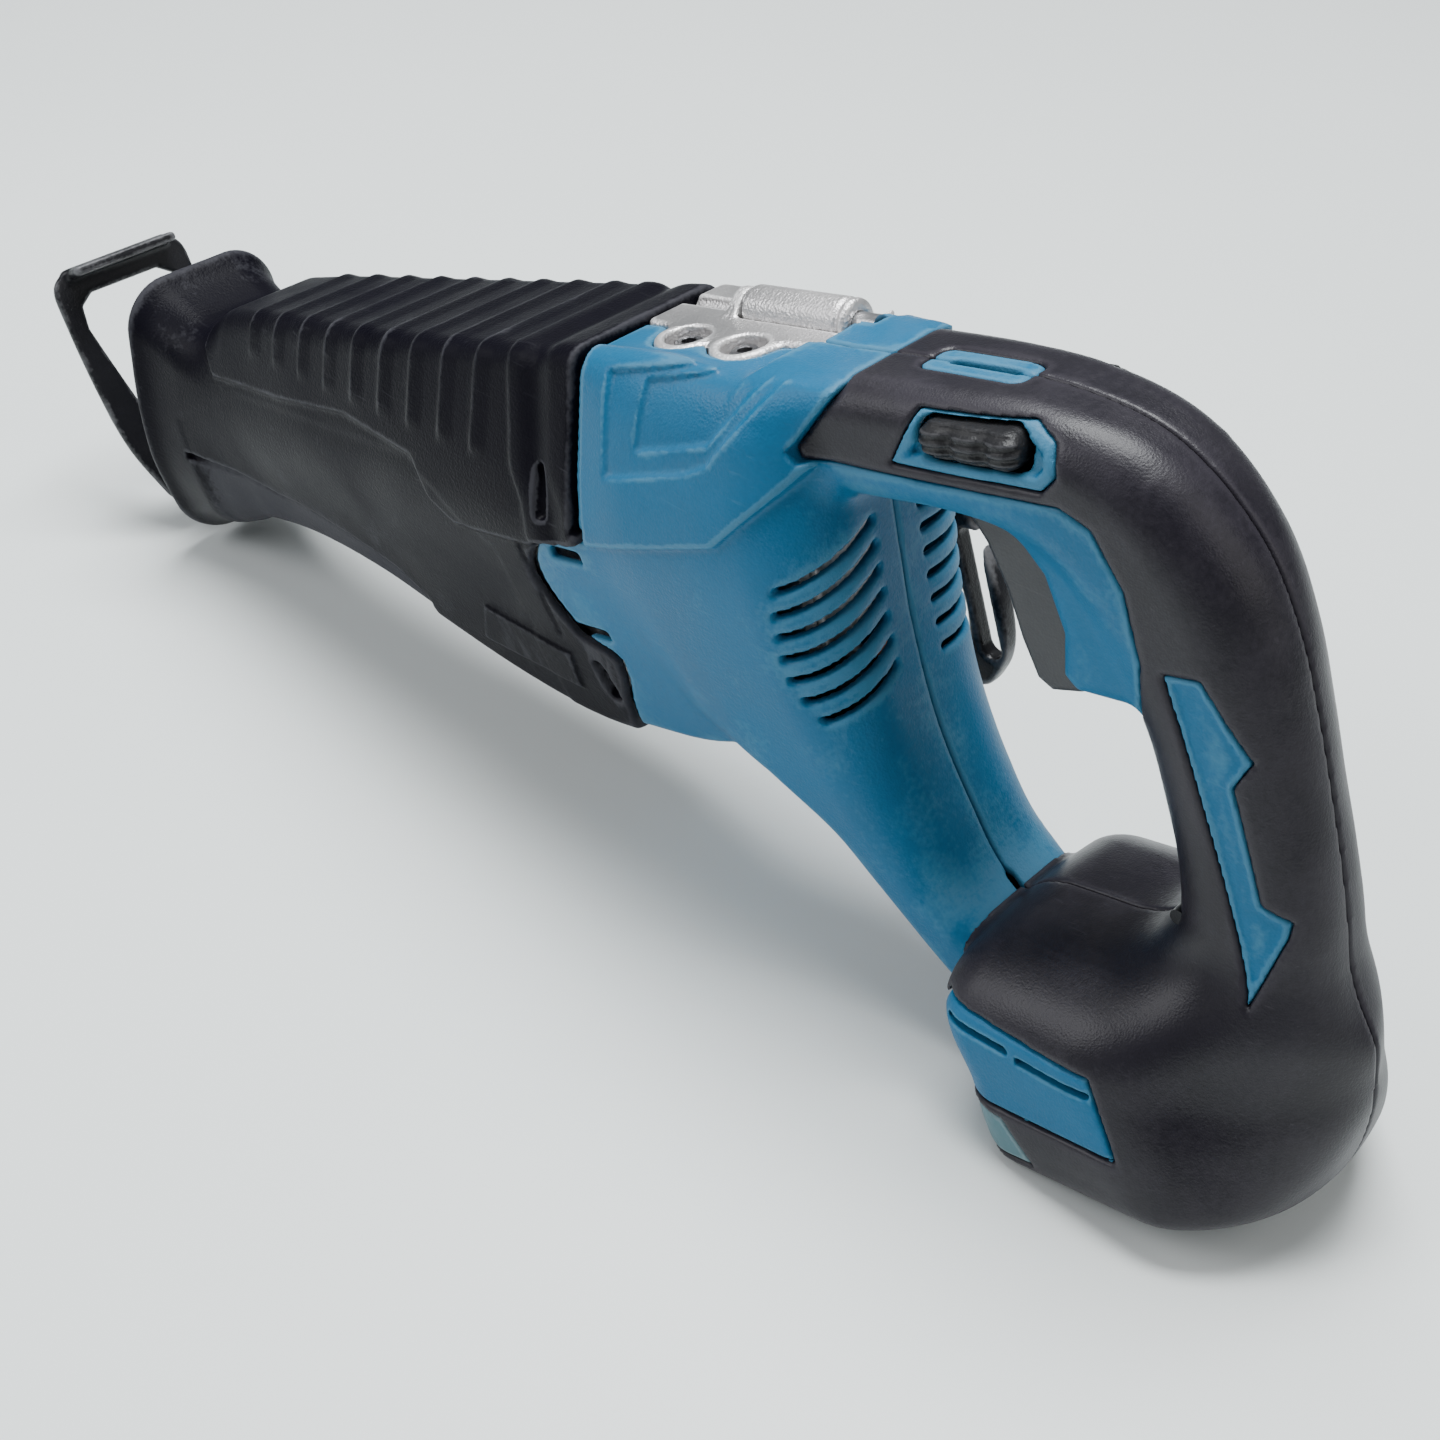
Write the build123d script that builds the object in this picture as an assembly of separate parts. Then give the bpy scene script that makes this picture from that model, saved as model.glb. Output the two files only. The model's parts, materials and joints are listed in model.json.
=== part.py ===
from build123d import *
from math import atan2, cos, degrees, pi, radians, sin
from typing import NamedTuple
import os

# Reciprocating saw, battery type, shown without its battery. Millimetres.
# Design frame: X forward along the blade, Y to the saw's left, Z up, with the base's rear
# at X = 0 and its underside at Z = 0. The finished pieces are tipped nose-down by
# rest_tilt() and moved so that the saw stands on Z = 0, centred on X and Y.

# ---- driving sizes ------------------------------------------------------------------------
AXIS_Z = 137.0              # height of the rod and blade
STROKE = 32.0               # travel of the rod
CRANK_X = 198.0             # crank axis, along Y
SEAM_X = 235.0              # where the casing ends and the rubber boot begins
NOSE_LENGTH = 196.0         # from that seam to the end of the boot's neck
HEAD_TOP = 188.0            # upper face of the casing's head
HEAD_BOTTOM = 76.0
HEAD_HALF_WIDTH = 37.5
HEAD_CORNER = 20.0
NECK_TOP = 176.0            # the boot where it is narrowest, just behind its flange
NECK_BOTTOM = 100.0
NECK_HALF_WIDTH = 27.5
WALL = 3.0                  # casing and boot wall
FIT_GAP = 0.3               # all-round gap between pieces that only locate each other
OVERMOULD = 2.0             # thickness of the soft grip layer
HANDLE_TOP = 190.0          # top of the D-handle
HANDLE_DEPTH = 30.0
HANDLE_HALF_WIDTH = 20.0
GRIP_X = 60.0               # middle of the grip at its slimmest
GRIP_DEPTH = 45.0
GRIP_HALF_WIDTH = 18.0
BASE_LENGTH = 118.0
BASE_REAR = 22.0            # how far the base's rear stands in from X = 0
BASE_HALF_WIDTH = 43.0
BASE_HEIGHT = 52.0
BASE_FRONT_CORNER = 108.0   # where the underside meets the raked front face
LEG_REAR_X = 146.0          # the rear face of the head, facing the hand gap
LEG_HALF_WIDTH = 27.0
MOTOR_TILT = 33.0           # motor axis from vertical, in the XZ plane
MOTOR_Y = -5.0              # motor axis, set off from the middle plane by the gears
STATOR_RADIUS = 17.5
STATOR_LENGTH = 28.0
ROTOR_RADIUS = 10.5
SHAFT_RADIUS = 4.0
GEAR_TEETH = 46
PINION_TEETH = 11
GEAR_RADIUS = 25.3          # pitch radius at the wide end of the bevel teeth
TOOTH_HEIGHT = 2.0
TOOTH_WIDTH = 1.0
FACE_WIDTH = 6.0
ROD_RADIUS = 8.0
RUN_GAP = 0.05              # radial clearance of a running fit
SLIDE_GAP = 0.4             # gap beside pieces that slide or turn past each other
CRANK_PIN_RADIUS = 3.0
ROLLER_RADIUS = 4.5
YOKE_Y = 8.0                # middle of the yoke plate, beside the gear
YOKE_THICKNESS = 8.0
YOKE_RAIL = 5.0             # bar width around the yoke's slot
CLAMP_RADIUS = 11.0
CLAMP_LENGTH = 26.0
BLADE_SLOT = 2.6
SHOE_BAR_WIDTH = 20.0
SHOE_BAR_THICKNESS = 5.0
SHOE_BAR_TOP = 116.0
SHOE_WIDTH = 54.0
SHOE_HEIGHT = 84.0
SHOE_THICKNESS = 3.0
SHOE_LEAN = 16.0            # how far the shoe's top leans forward as it stands
SHOE_TRAVEL = 30.0
SHOE_PIN_RADIUS = 2.5
SHOE_PIVOT_Z = 113.5
FLANGE_HEIGHT = 94.0
FLANGE_RAKE = 11.0          # the boot's flange leans, its foot further forward
FLANGE_FOOT = 86.0
HOOK_BARREL_RADIUS = 6.0
HOOK_BARREL_LENGTH = 34.0
HOOK_Y = -15.0
HOOK_X = 182.0
HOOK_PIN_RADIUS = 3.0
HOOK_DROP = 111.0           # from the hinge down to the end of the folded hook
HOOK_BAR = 7.0
HOOK_WIDTH = 22.0
BRACKET_THICKNESS = 5.0
BRACKET_HOLE_RADIUS = 6.0
BRACKET_HOLE_PITCH = 19.0
TRIGGER_TRAVEL = 8.0        # degrees
BUTTON_X = 106.0
BUTTON_Z = 181.0
BUTTON_LENGTH = 27.0
BUTTON_RADIUS = 4.5
BUTTON_TRAVEL = 4.0
BAY_HALF_WIDTH = 31.0       # the pocket that the battery slides into
BAY_HEIGHT = 15.0
BAY_REAR = 38.0             # rear end of that pocket
RAIL_WIDTH = 4.0
RAIL_HEIGHT = 4.0
VENT_COUNT = 7
VENT_PITCH = 8.6
VENT_WIDTH = 3.4
SCREW_RADIUS = 2.0
SCREW_HEAD_RADIUS = 3.8

# ---- worked-out places --------------------------------------------------------------------
CRANK_RADIUS = STROKE / 2
MOUTH_X = SEAM_X + NOSE_LENGTH
YOKE_X = CRANK_X - CRANK_RADIUS             # the yoke's middle when the rod is drawn back
SLOT_HALF = ROLLER_RADIUS + 0.106 * STROKE + SLIDE_GAP   # room for the constant-ratio drive
YOKE_HALF_LENGTH = SLOT_HALF + YOKE_RAIL
YOKE_HALF_HEIGHT = CRANK_RADIUS + ROLLER_RADIUS + SLIDE_GAP + YOKE_RAIL
PINION_RADIUS = GEAR_RADIUS * PINION_TEETH / GEAR_TEETH
GEAR_FACE_Y = MOTOR_Y - PINION_RADIUS
GEAR_BACK_Y = GEAR_FACE_Y - 9.0
CHAMBER_RADIUS = GEAR_RADIUS + TOOTH_HEIGHT + 3.0
CHAMBER_FRONT = CRANK_X + CRANK_RADIUS + YOKE_HALF_LENGTH + 3.0
CHAMBER_REAR = YOKE_X - YOKE_HALF_LENGTH - 2.0
COVER_Y = YOKE_Y + YOKE_THICKNESS / 2 + 2.0
COVER_THICKNESS = 4.0
ROD_FRONT = MOUTH_X - CLAMP_LENGTH + 10.0
SHOE_BAR_REAR = SEAM_X + 0.42 * NOSE_LENGTH
FLANGE_X = MOUTH_X + 24.0
SHOE_PIVOT_X = FLANGE_X + 9.0
MOTOR_DIRECTION = Vector(-sin(radians(MOTOR_TILT)), 0, -cos(radians(MOTOR_TILT)))
MOTOR_FACE = GEAR_RADIUS + 13.0             # distances along the motor axis from the crank
STATOR_START = MOTOR_FACE + 9.0
FAN_START = STATOR_START + STATOR_LENGTH + 3.0
FAN_LENGTH = 7.0
REAR_BEARING_START = FAN_START + FAN_LENGTH + 1.5
BEARING_RADIUS = 9.5
MOTOR_BEARING_RADIUS = 8.5
BEARING_LENGTH = 6.0
INNER_WALL = WALL + FIT_GAP


class Ring(NamedTuple):
    """A rounded rectangle across a body, standing square to the body's own run."""
    x: float
    z: float
    heading: float      # degrees in the XZ plane, 0 forward and 90 up
    half_width: float
    depth: float
    corner: float


def ring_face(ring, inset):
    """The ring's face, drawn inwards by an inset."""
    run = Vector(cos(radians(ring.heading)), 0, sin(radians(ring.heading)))
    plane = Plane(origin=(ring.x, 0, ring.z), x_dir=(0, 1, 0), z_dir=run)
    corner = max(ring.corner - inset, 1.0)
    return plane * RectangleRounded(2 * (ring.half_width - inset), ring.depth - 2 * inset, corner)


def shifted(ring, distance):
    """The ring moved along the body's run."""
    turn = radians(ring.heading)
    return ring._replace(x=ring.x + distance * cos(turn), z=ring.z + distance * sin(turn))


def lofted(rings, inset=0.0):
    """A smooth body through the rings, drawn inwards by an inset at the sides and both ends."""
    ends = [shifted(rings[0], inset), *rings[1:-1], shifted(rings[-1], -inset)]
    return loft([ring_face(ring, inset) for ring in ends])


def upright(x, low, high, half_width, corner):
    """A ring across a body that runs forward."""
    return Ring(x, (low + high) / 2, 0.0, half_width, high - low, corner)


def level(z, rear, front, half_width, corner):
    """A ring across a body that runs upwards."""
    return Ring((rear + front) / 2, z, 90.0, half_width, front - rear, corner)


def nose_at(share):
    """X of a place along the nose, as a share of its length."""
    return SEAM_X + share * NOSE_LENGTH


def nose_rings():
    """The head and the nose behind the flange, as one run."""
    return [
        upright(CRANK_X - 36, HEAD_BOTTOM + 22, HEAD_TOP - 1, HEAD_HALF_WIDTH - 5, HEAD_CORNER),
        upright(CRANK_X - 4, HEAD_BOTTOM + 3, HEAD_TOP, HEAD_HALF_WIDTH, HEAD_CORNER),
        upright(SEAM_X, HEAD_BOTTOM, HEAD_TOP - 1, HEAD_HALF_WIDTH + 0.5, HEAD_CORNER),
        upright(nose_at(0.32), HEAD_BOTTOM + 7, HEAD_TOP - 7, HEAD_HALF_WIDTH - 2, HEAD_CORNER - 2),
        upright(nose_at(0.58), NECK_BOTTOM - 3, NECK_TOP + 3, NECK_HALF_WIDTH + 4, HEAD_CORNER - 4),
        upright(nose_at(0.85), NECK_BOTTOM, NECK_TOP, NECK_HALF_WIDTH, HEAD_CORNER - 6),
        upright(MOUTH_X, NECK_BOTTOM - 2, NECK_TOP, NECK_HALF_WIDTH, HEAD_CORNER - 6),
    ]


def leg_rings():
    """The leg that holds the motor, from inside the base up into the head."""
    return [
        level(BASE_HEIGHT - 18, LEG_REAR_X - 52, LEG_REAR_X - 31, LEG_HALF_WIDTH - 5, 9),
        level(BASE_HEIGHT, LEG_REAR_X - 26, LEG_REAR_X + 8, LEG_HALF_WIDTH - 3, 14),
        level(BASE_HEIGHT + 18, LEG_REAR_X - 13, LEG_REAR_X + 33, LEG_HALF_WIDTH, 18),
        level(90, LEG_REAR_X - 5, LEG_REAR_X + 58, LEG_HALF_WIDTH + 2, 20),
        level(120, LEG_REAR_X, SEAM_X - 14, HEAD_HALF_WIDTH - 5, 22),
        level(150, LEG_REAR_X + 1, SEAM_X - 12, HEAD_HALF_WIDTH - 4, 22),
        level(HEAD_TOP - 10, LEG_REAR_X + 1, SEAM_X - 12, HEAD_HALF_WIDTH - 8, 20),
    ]


def handle_rings():
    """The D-handle, from the head back, round the corner and down into the base."""
    middle = HANDLE_TOP - HANDLE_DEPTH / 2
    return [
        Ring(LEG_REAR_X + 14, middle - 1, 180, HANDLE_HALF_WIDTH + 3, HANDLE_DEPTH, 9),
        Ring(LEG_REAR_X - 30, middle, 181, HANDLE_HALF_WIDTH + 1, HANDLE_DEPTH, 10),
        Ring(GRIP_X + 17, middle - 6, 222, HANDLE_HALF_WIDTH, HANDLE_DEPTH + 8, 12),
        Ring(GRIP_X + 2, middle - 40, 264, GRIP_HALF_WIDTH, GRIP_DEPTH, 14),
        Ring(GRIP_X - 4, middle - 75, 262, GRIP_HALF_WIDTH - 1, GRIP_DEPTH - 2, 14),
        Ring(GRIP_X - 8, BASE_HEIGHT + 10, 265, GRIP_HALF_WIDTH + 2, GRIP_DEPTH + 3, 14),
        Ring(GRIP_X - 8, BASE_HEIGHT - 16, 270, GRIP_HALF_WIDTH + 8, GRIP_DEPTH + 12, 16),
    ]


def base_rings():
    """The foot of the handle, which carries the battery."""
    return [
        level(0, BASE_REAR + 9, BASE_FRONT_CORNER, BASE_HALF_WIDTH - 3, 22),
        level(20, BASE_REAR, BASE_FRONT_CORNER + 5, BASE_HALF_WIDTH, 26),
        level(38, BASE_REAR - 2, BASE_LENGTH + 2, BASE_HALF_WIDTH - 1, 26),
        level(BASE_HEIGHT - 4, BASE_REAR + 1, BASE_LENGTH, BASE_HALF_WIDTH - 6, 24),
        level(BASE_HEIGHT + 3, BASE_REAR + 7, BASE_LENGTH - 3, BASE_HALF_WIDTH - 13, 20),
    ]


def span(low, high):
    """A box from one corner to the opposite one."""
    size = [b - a for a, b in zip(low, high)]
    middle = [(a + b) / 2 for a, b in zip(low, high)]
    return Pos(*middle) * Box(*size)


def rod_along(start, direction, radius, length):
    """A cylinder that starts at a point and runs along a direction."""
    return Plane(origin=start, z_dir=direction) * Cylinder(
        radius, length, align=(Align.CENTER, Align.CENTER, Align.MIN))


def tube_along(start, direction, outer, inner, length):
    """A cylinder with a bore right through it."""
    return rod_along(start, direction, outer, length) - rod_along(start, direction, inner, length)


def on_motor_axis(distance, lateral=0.0):
    """A point on the motor axis, or beside it towards the front."""
    point = Vector(CRANK_X, MOTOR_Y, AXIS_Z) + MOTOR_DIRECTION * distance
    return point + Vector(cos(radians(MOTOR_TILT)), 0, -sin(radians(MOTOR_TILT))) * lateral


def side_prism(points, y_low, y_high):
    """A polygon in the XZ plane, extruded from one Y to another."""
    outline = make_face(Polyline(*[(x, y_low, z) for x, z in points], close=True).edges())
    body = extrude(outline, amount=y_high - y_low, dir=(0, 1, 0))
    return body


def body_envelope(inset):
    """The casing's outer form without the nose, drawn inwards by an inset."""
    head = lofted(nose_rings(), inset) & span((0, -90, 0), (SEAM_X, 90, 300))
    return head + lofted(leg_rings(), inset) + lofted(handle_rings(), inset) + lofted(base_rings(), inset)


# ---- soft grip: where it lies and its windows ----------------------------------------------
def strip_outline():
    """The bare casing on the finger side of the handle, above the hand's grip."""
    under = HANDLE_TOP - HANDLE_DEPTH * 0.56
    return [
        (LEG_REAR_X + 40, under),
        (GRIP_X + 24, under),
        (GRIP_X + 12, under - 22),
        (GRIP_X + 10, under - 53),
        (GRIP_X + 40, under - 53),
        (LEG_REAR_X + 40, under - 60),
    ]


def soft_region():
    """Everything the soft layer may cover: handle, grip and base, not the head or leg."""
    handle = side_prism(
        [(-20, -20), (BASE_LENGTH + 12, -20), (BASE_LENGTH + 12, BASE_HEIGHT - 8),
         (GRIP_X + 35, BASE_HEIGHT + 40), (GRIP_X + 35, HANDLE_TOP - HANDLE_DEPTH * 0.5),
         (LEG_REAR_X - 2, HANDLE_TOP - HANDLE_DEPTH * 0.56), (LEG_REAR_X - 14, HANDLE_TOP + 20),
         (-20, HANDLE_TOP + 20)],
        -60, 60)
    leg = lofted(leg_rings(), -FIT_GAP)
    return handle - side_prism(strip_outline(), -60, 60) - leg


def inlay_outline():
    """The bare patch on each side of the grip, with its stepped rear edge."""
    top = HANDLE_TOP - 55
    return [
        (GRIP_X + 3, top), (GRIP_X - 6, top), (GRIP_X - 14, top - 20), (GRIP_X - 11, top - 26),
        (GRIP_X - 15, top - 52), (GRIP_X - 20, top - 56), (GRIP_X - 15, top - 78),
        (GRIP_X - 9, top - 58), (GRIP_X - 2, top - 24),
    ]


def window_cutters():
    """Openings in the soft layer that show the casing beneath."""
    button = Pos(BUTTON_X, 0, BUTTON_Z) * Box(BUTTON_LENGTH + 16, 90, 4 * BUTTON_RADIUS - 2)
    top_slot = Pos(BUTTON_X + 10, 0, HANDLE_TOP) * Box(26, 11, 14)
    inlay = side_prism(inlay_outline(), -60, 60) & span((0, -60, 0), (GRIP_X + 20, 60, 300))
    return button + top_slot + inlay


def panel_block(side):
    """The vented panel let into one side of the base."""
    outline = [(74, 36), (116, 43), (118, 24), (68, 16)]
    y_inner = side * (BASE_HALF_WIDTH - 3.5)
    y_outer = side * (BASE_HALF_WIDTH + 12.0)
    return side_prism(outline, min(y_inner, y_outer), max(y_inner, y_outer))


def badge_block(side):
    """The shallow seat of the plain badge below the panel."""
    outline = [(84, 14), (114, 20), (111, 8), (86, 4)]
    y_inner = side * (BASE_HALF_WIDTH - 5.0)
    y_outer = side * (BASE_HALF_WIDTH + 12.0)
    return side_prism(outline, min(y_inner, y_outer), max(y_inner, y_outer))


# ---- casing -------------------------------------------------------------------------------
def vent_cutters(side):
    """Seven slots, stepping down the rear quarter of the motor housing."""
    slots = []
    for index in range(VENT_COUNT):
        z = AXIS_Z + 24 - index * VENT_PITCH
        place = Pos(LEG_REAR_X + 12 - 0.9 * index, side * HEAD_HALF_WIDTH, z)
        slots.append(place * Rot(0, -20, 0) * Box(30, 34, VENT_WIDTH))
    return slots


def battery_bay():
    """The pocket under the base, open to the front, with an undercut behind each rail."""
    pocket = span((BAY_REAR, -BAY_HALF_WIDTH + RAIL_WIDTH, -5), (140, BAY_HALF_WIDTH - RAIL_WIDTH, BAY_HEIGHT))
    undercut = span((BAY_REAR, -BAY_HALF_WIDTH, RAIL_HEIGHT), (140, BAY_HALF_WIDTH, BAY_HEIGHT))
    return pocket + undercut


def screw_places():
    """Where the casing's two halves are screwed together, as X and Z."""
    return [
        (GRIP_X + 8, HANDLE_TOP - 26),
        (GRIP_X + 6, BASE_HEIGHT + 16),
        (LEG_REAR_X - 16, HANDLE_TOP - 8),
        (LEG_REAR_X - 40, BASE_HEIGHT - 20),
    ]


def casing_and_soft():
    """Both casing halves and both soft layers."""
    outer = body_envelope(0.0)
    core = body_envelope(OVERMOULD)
    soft = (outer - core) & soft_region()
    soft = soft - window_cutters() - panel_block(1) - panel_block(-1) - badge_block(1) - badge_block(-1)
    soft -= battery_bay()
    cavity = body_envelope(OVERMOULD + WALL)
    cavity += lofted(nose_rings(), WALL) & span((CRANK_X - 36, -90, 0), (SEAM_X + 1, 90, 300))
    cavity += lofted(leg_rings(), WALL) & span((0, -90, BASE_HEIGHT + 16), (SEAM_X, 90, HEAD_TOP - 14))
    bay_roof = span((BAY_REAR - 6, -60, -10), (140, 60, BAY_HEIGHT + WALL))
    cavity -= bay_roof
    shell = outer - soft - cavity - battery_bay()
    shell -= bracket_seat()
    shell -= panel_block(1) + panel_block(-1) + badge_block(1) + badge_block(-1)
    shell -= trigger_opening()
    shell -= button_bore()
    shell -= rod_along(on_motor_axis(MOTOR_FACE), MOTOR_DIRECTION, STATOR_RADIUS + FIT_GAP,
                       REAR_BEARING_START + BEARING_LENGTH + 3 - MOTOR_FACE)
    soft -= button_bore()
    soft -= trigger_sweep()
    for x, z in screw_places():
        boss = Pos(x, 0, z) * Rot(90, 0, 0) * Cylinder(SCREW_RADIUS + 2.6, 2 * GRIP_HALF_WIDTH - 2)
        shell += boss & core
    for x, z in screw_places():
        shell -= Pos(x, 0, z) * Rot(90, 0, 0) * Cylinder(SCREW_RADIUS + RUN_GAP, 2 * GRIP_HALF_WIDTH - 4)
    for cutter in vent_cutters(1) + vent_cutters(-1):
        shell -= cutter
    pieces = {}
    for name, side in (("left", 1), ("right", -1)):
        half = span((-50, 0, -50), (600, 90, 300)) if side > 0 else span((-50, -90, -50), (600, 0, 300))
        pieces["casing_" + name] = largest(shell & half)
        pieces["soft_grip_" + name] = largest(soft & half)
        panel = (panel_block(side) & outer) - slot_pair(side)
        pieces["base_vent_panel_" + name] = largest(panel)
        pieces["base_badge_" + name] = largest(badge_block(side) & lofted(base_rings(), 0.3))
    return pieces


def slot_pair(side):
    """The two long slots in a base panel."""
    upper = Pos(84, side * BASE_HALF_WIDTH, 33) * Rot(0, -8, 0) * Box(17, 20, 2.6)
    lower = Pos(105, side * BASE_HALF_WIDTH, 36.5) * Rot(0, -8, 0) * Box(17, 20, 2.6)
    return upper + lower


def largest(shape):
    """The one solid of a cut body, without the crumbs of the cut."""
    return max(shape.solids(), key=lambda solid: solid.volume)


def trigger_opening():
    """The slot in the finger side of the handle that the trigger comes through."""
    return span((GRIP_X + 14, -7.0 - SLIDE_GAP, HANDLE_TOP - 79),
                (BUTTON_X + 22, 7.0 + SLIDE_GAP, HANDLE_TOP - HANDLE_DEPTH + 7))


def trigger_sweep():
    """The room in the soft layer that the squeezed trigger swings into."""
    return span((GRIP_X + 8, -7.0 - SLIDE_GAP, HANDLE_TOP - 81),
                (BUTTON_X + 22, 7.0 + SLIDE_GAP, HANDLE_TOP - HANDLE_DEPTH + 7))


def button_bore():
    """The hole right across the handle for the lock-off button."""
    return Pos(BUTTON_X, 0, BUTTON_Z) * Box(BUTTON_LENGTH + 2 * SLIDE_GAP, 90,
                                            2 * BUTTON_RADIUS + 2 * SLIDE_GAP)


def bracket_seat():
    """The cut in the head's top that the hook bracket fills."""
    return span((HOOK_X - 24, HOOK_Y - 12 - FIT_GAP, HEAD_TOP - BRACKET_THICKNESS - 4),
                (SEAM_X + 1, 14 + FIT_GAP, HEAD_TOP + 20))


# ---- front end ----------------------------------------------------------------------------
def flange_ring(shift, grow, corner):
    """A ring of the boot's raked flange, shifted forward and grown."""
    middle = FLANGE_FOOT + FLANGE_HEIGHT / 2
    return Ring(FLANGE_X + shift, middle, FLANGE_RAKE, NECK_HALF_WIDTH + 2 + grow,
                FLANGE_HEIGHT + 2 * grow, corner)


def boot():
    """The rubber cover of the nose, with its flared and open flange."""
    neck = lofted(nose_rings()) & span((SEAM_X + FIT_GAP, -90, 0), (MOUTH_X, 90, 300))
    flare = lofted([nose_rings()[-1], flange_ring(-8, 0, 18), flange_ring(0, -1, 18)])
    inside = lofted(nose_rings(), WALL) & span((SEAM_X - 5, -90, 0), (MOUTH_X + 1, 90, 300))
    mouth = lofted([
        upright(MOUTH_X - WALL - 1, NECK_BOTTOM + 4, NECK_TOP - 4, NECK_HALF_WIDTH - 4, 10),
        flange_ring(8, -7, 14),
    ])
    body = neck + flare - inside - mouth
    for index in range(8):
        x = nose_at(0.12 + 0.09 * index)
        body -= rib_groove(x)
    body -= lock_button_hole()
    return largest(body)


def rib_groove(x):
    """One shallow groove between the boot's gripping ribs, over its top and upper sides."""
    top = HEAD_TOP - 1 - (HEAD_TOP - NECK_TOP) * (x - SEAM_X) / NOSE_LENGTH
    return span((x, -HEAD_HALF_WIDTH * 0.45, top - 1.6), (x + 3.5, HEAD_HALF_WIDTH * 0.45, top + 12))


def lock_button_hole():
    """The hole through boot and gear case for the shoe's lock button."""
    return rod_along((nose_at(0.66), 0, NECK_BOTTOM - 30), (0, 0, 1), 5 + SLIDE_GAP, 60)


def motor_clearance():
    """Everything behind the gear case's slanted motor face."""
    plane = Plane(origin=on_motor_axis(MOTOR_FACE + 60), x_dir=(0, 1, 0), z_dir=MOTOR_DIRECTION)
    return plane * Box(200, 110, 120)


def gear_case():
    """The cast housing of the crank and the rod, inside head and boot."""
    body = lofted(nose_rings(), INNER_WALL)
    body &= span((CRANK_X - 35, -90, 0), (MOUTH_X - 1, 90, HEAD_TOP - BRACKET_THICKNESS - 1))
    body -= motor_clearance()
    chamber = rod_along((CRANK_X, GEAR_BACK_Y - 1, AXIS_Z), (0, 1, 0), CHAMBER_RADIUS, 100)
    body -= chamber
    body -= span((CHAMBER_REAR, YOKE_Y - YOKE_THICKNESS / 2 - 7, AXIS_Z - YOKE_HALF_HEIGHT - 2),
                 (CHAMBER_FRONT, 90, AXIS_Z + YOKE_HALF_HEIGHT + 2))
    body -= rod_along((CRANK_X, -80, AXIS_Z), (0, 1, 0), BEARING_RADIUS, 78 + GEAR_BACK_Y)
    body -= rod_along((CRANK_X, -80, AXIS_Z), (0, 1, 0), SHAFT_RADIUS + 2, 80)
    body -= cover_block(FIT_GAP, 60)
    body -= rod_along((CRANK_X, 0, AXIS_Z), (1, 0, 0), ROD_RADIUS + 1.5, 300)
    body -= rod_along((nose_at(0.2), 0, AXIS_Z), (1, 0, 0), ROD_RADIUS + 4, 300)
    body -= rod_along((ROD_FRONT - 8, 0, AXIS_Z), (1, 0, 0), CLAMP_RADIUS + 3, 300)
    bar = span((SHOE_BAR_REAR - 2, -SHOE_BAR_WIDTH / 2 - FIT_GAP,
                SHOE_BAR_TOP - SHOE_BAR_THICKNESS - FIT_GAP),
               (MOUTH_X + 50, SHOE_BAR_WIDTH / 2 + FIT_GAP, SHOE_BAR_TOP + FIT_GAP))
    body -= bar
    body -= lock_button_hole()
    body -= rod_along(on_motor_axis(0), MOTOR_DIRECTION, MOTOR_BEARING_RADIUS, MOTOR_FACE + 5)
    for x, y in bracket_holes():
        body -= rod_along((x, y, HEAD_TOP - 30), (0, 0, 1), SCREW_RADIUS + 0.5, 60)
    for x, z in cover_screw_places():
        body -= rod_along((x, COVER_Y - 9, z), (0, 1, 0), SCREW_RADIUS, 12)
    return largest(body)


def cover_block(gap, thickness):
    """The outline of the gear case's side cover."""
    return span((CHAMBER_REAR - 4 - gap, COVER_Y, AXIS_Z - CHAMBER_RADIUS - 7 - gap),
                (CHAMBER_FRONT + 8 + gap, COVER_Y + thickness, AXIS_Z + CHAMBER_RADIUS + 4 + gap))


def cover_screw_places():
    """The four corners of the side cover, as X and Z."""
    return [
        (CHAMBER_REAR + 1, AXIS_Z + CHAMBER_RADIUS - 1),
        (CHAMBER_FRONT + 3, AXIS_Z + CHAMBER_RADIUS - 1),
        (CHAMBER_FRONT + 3, AXIS_Z - CHAMBER_RADIUS - 2),
    ]


def bracket_holes():
    """The two counterbored holes in the hook bracket, as X and Y."""
    return [(SEAM_X - 31 - BRACKET_HOLE_PITCH, 5), (SEAM_X - 31, 5)]


def hinge_height():
    """Height of the hook's hinge, half sunk in the head's top."""
    return HEAD_TOP + 0.5


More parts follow.
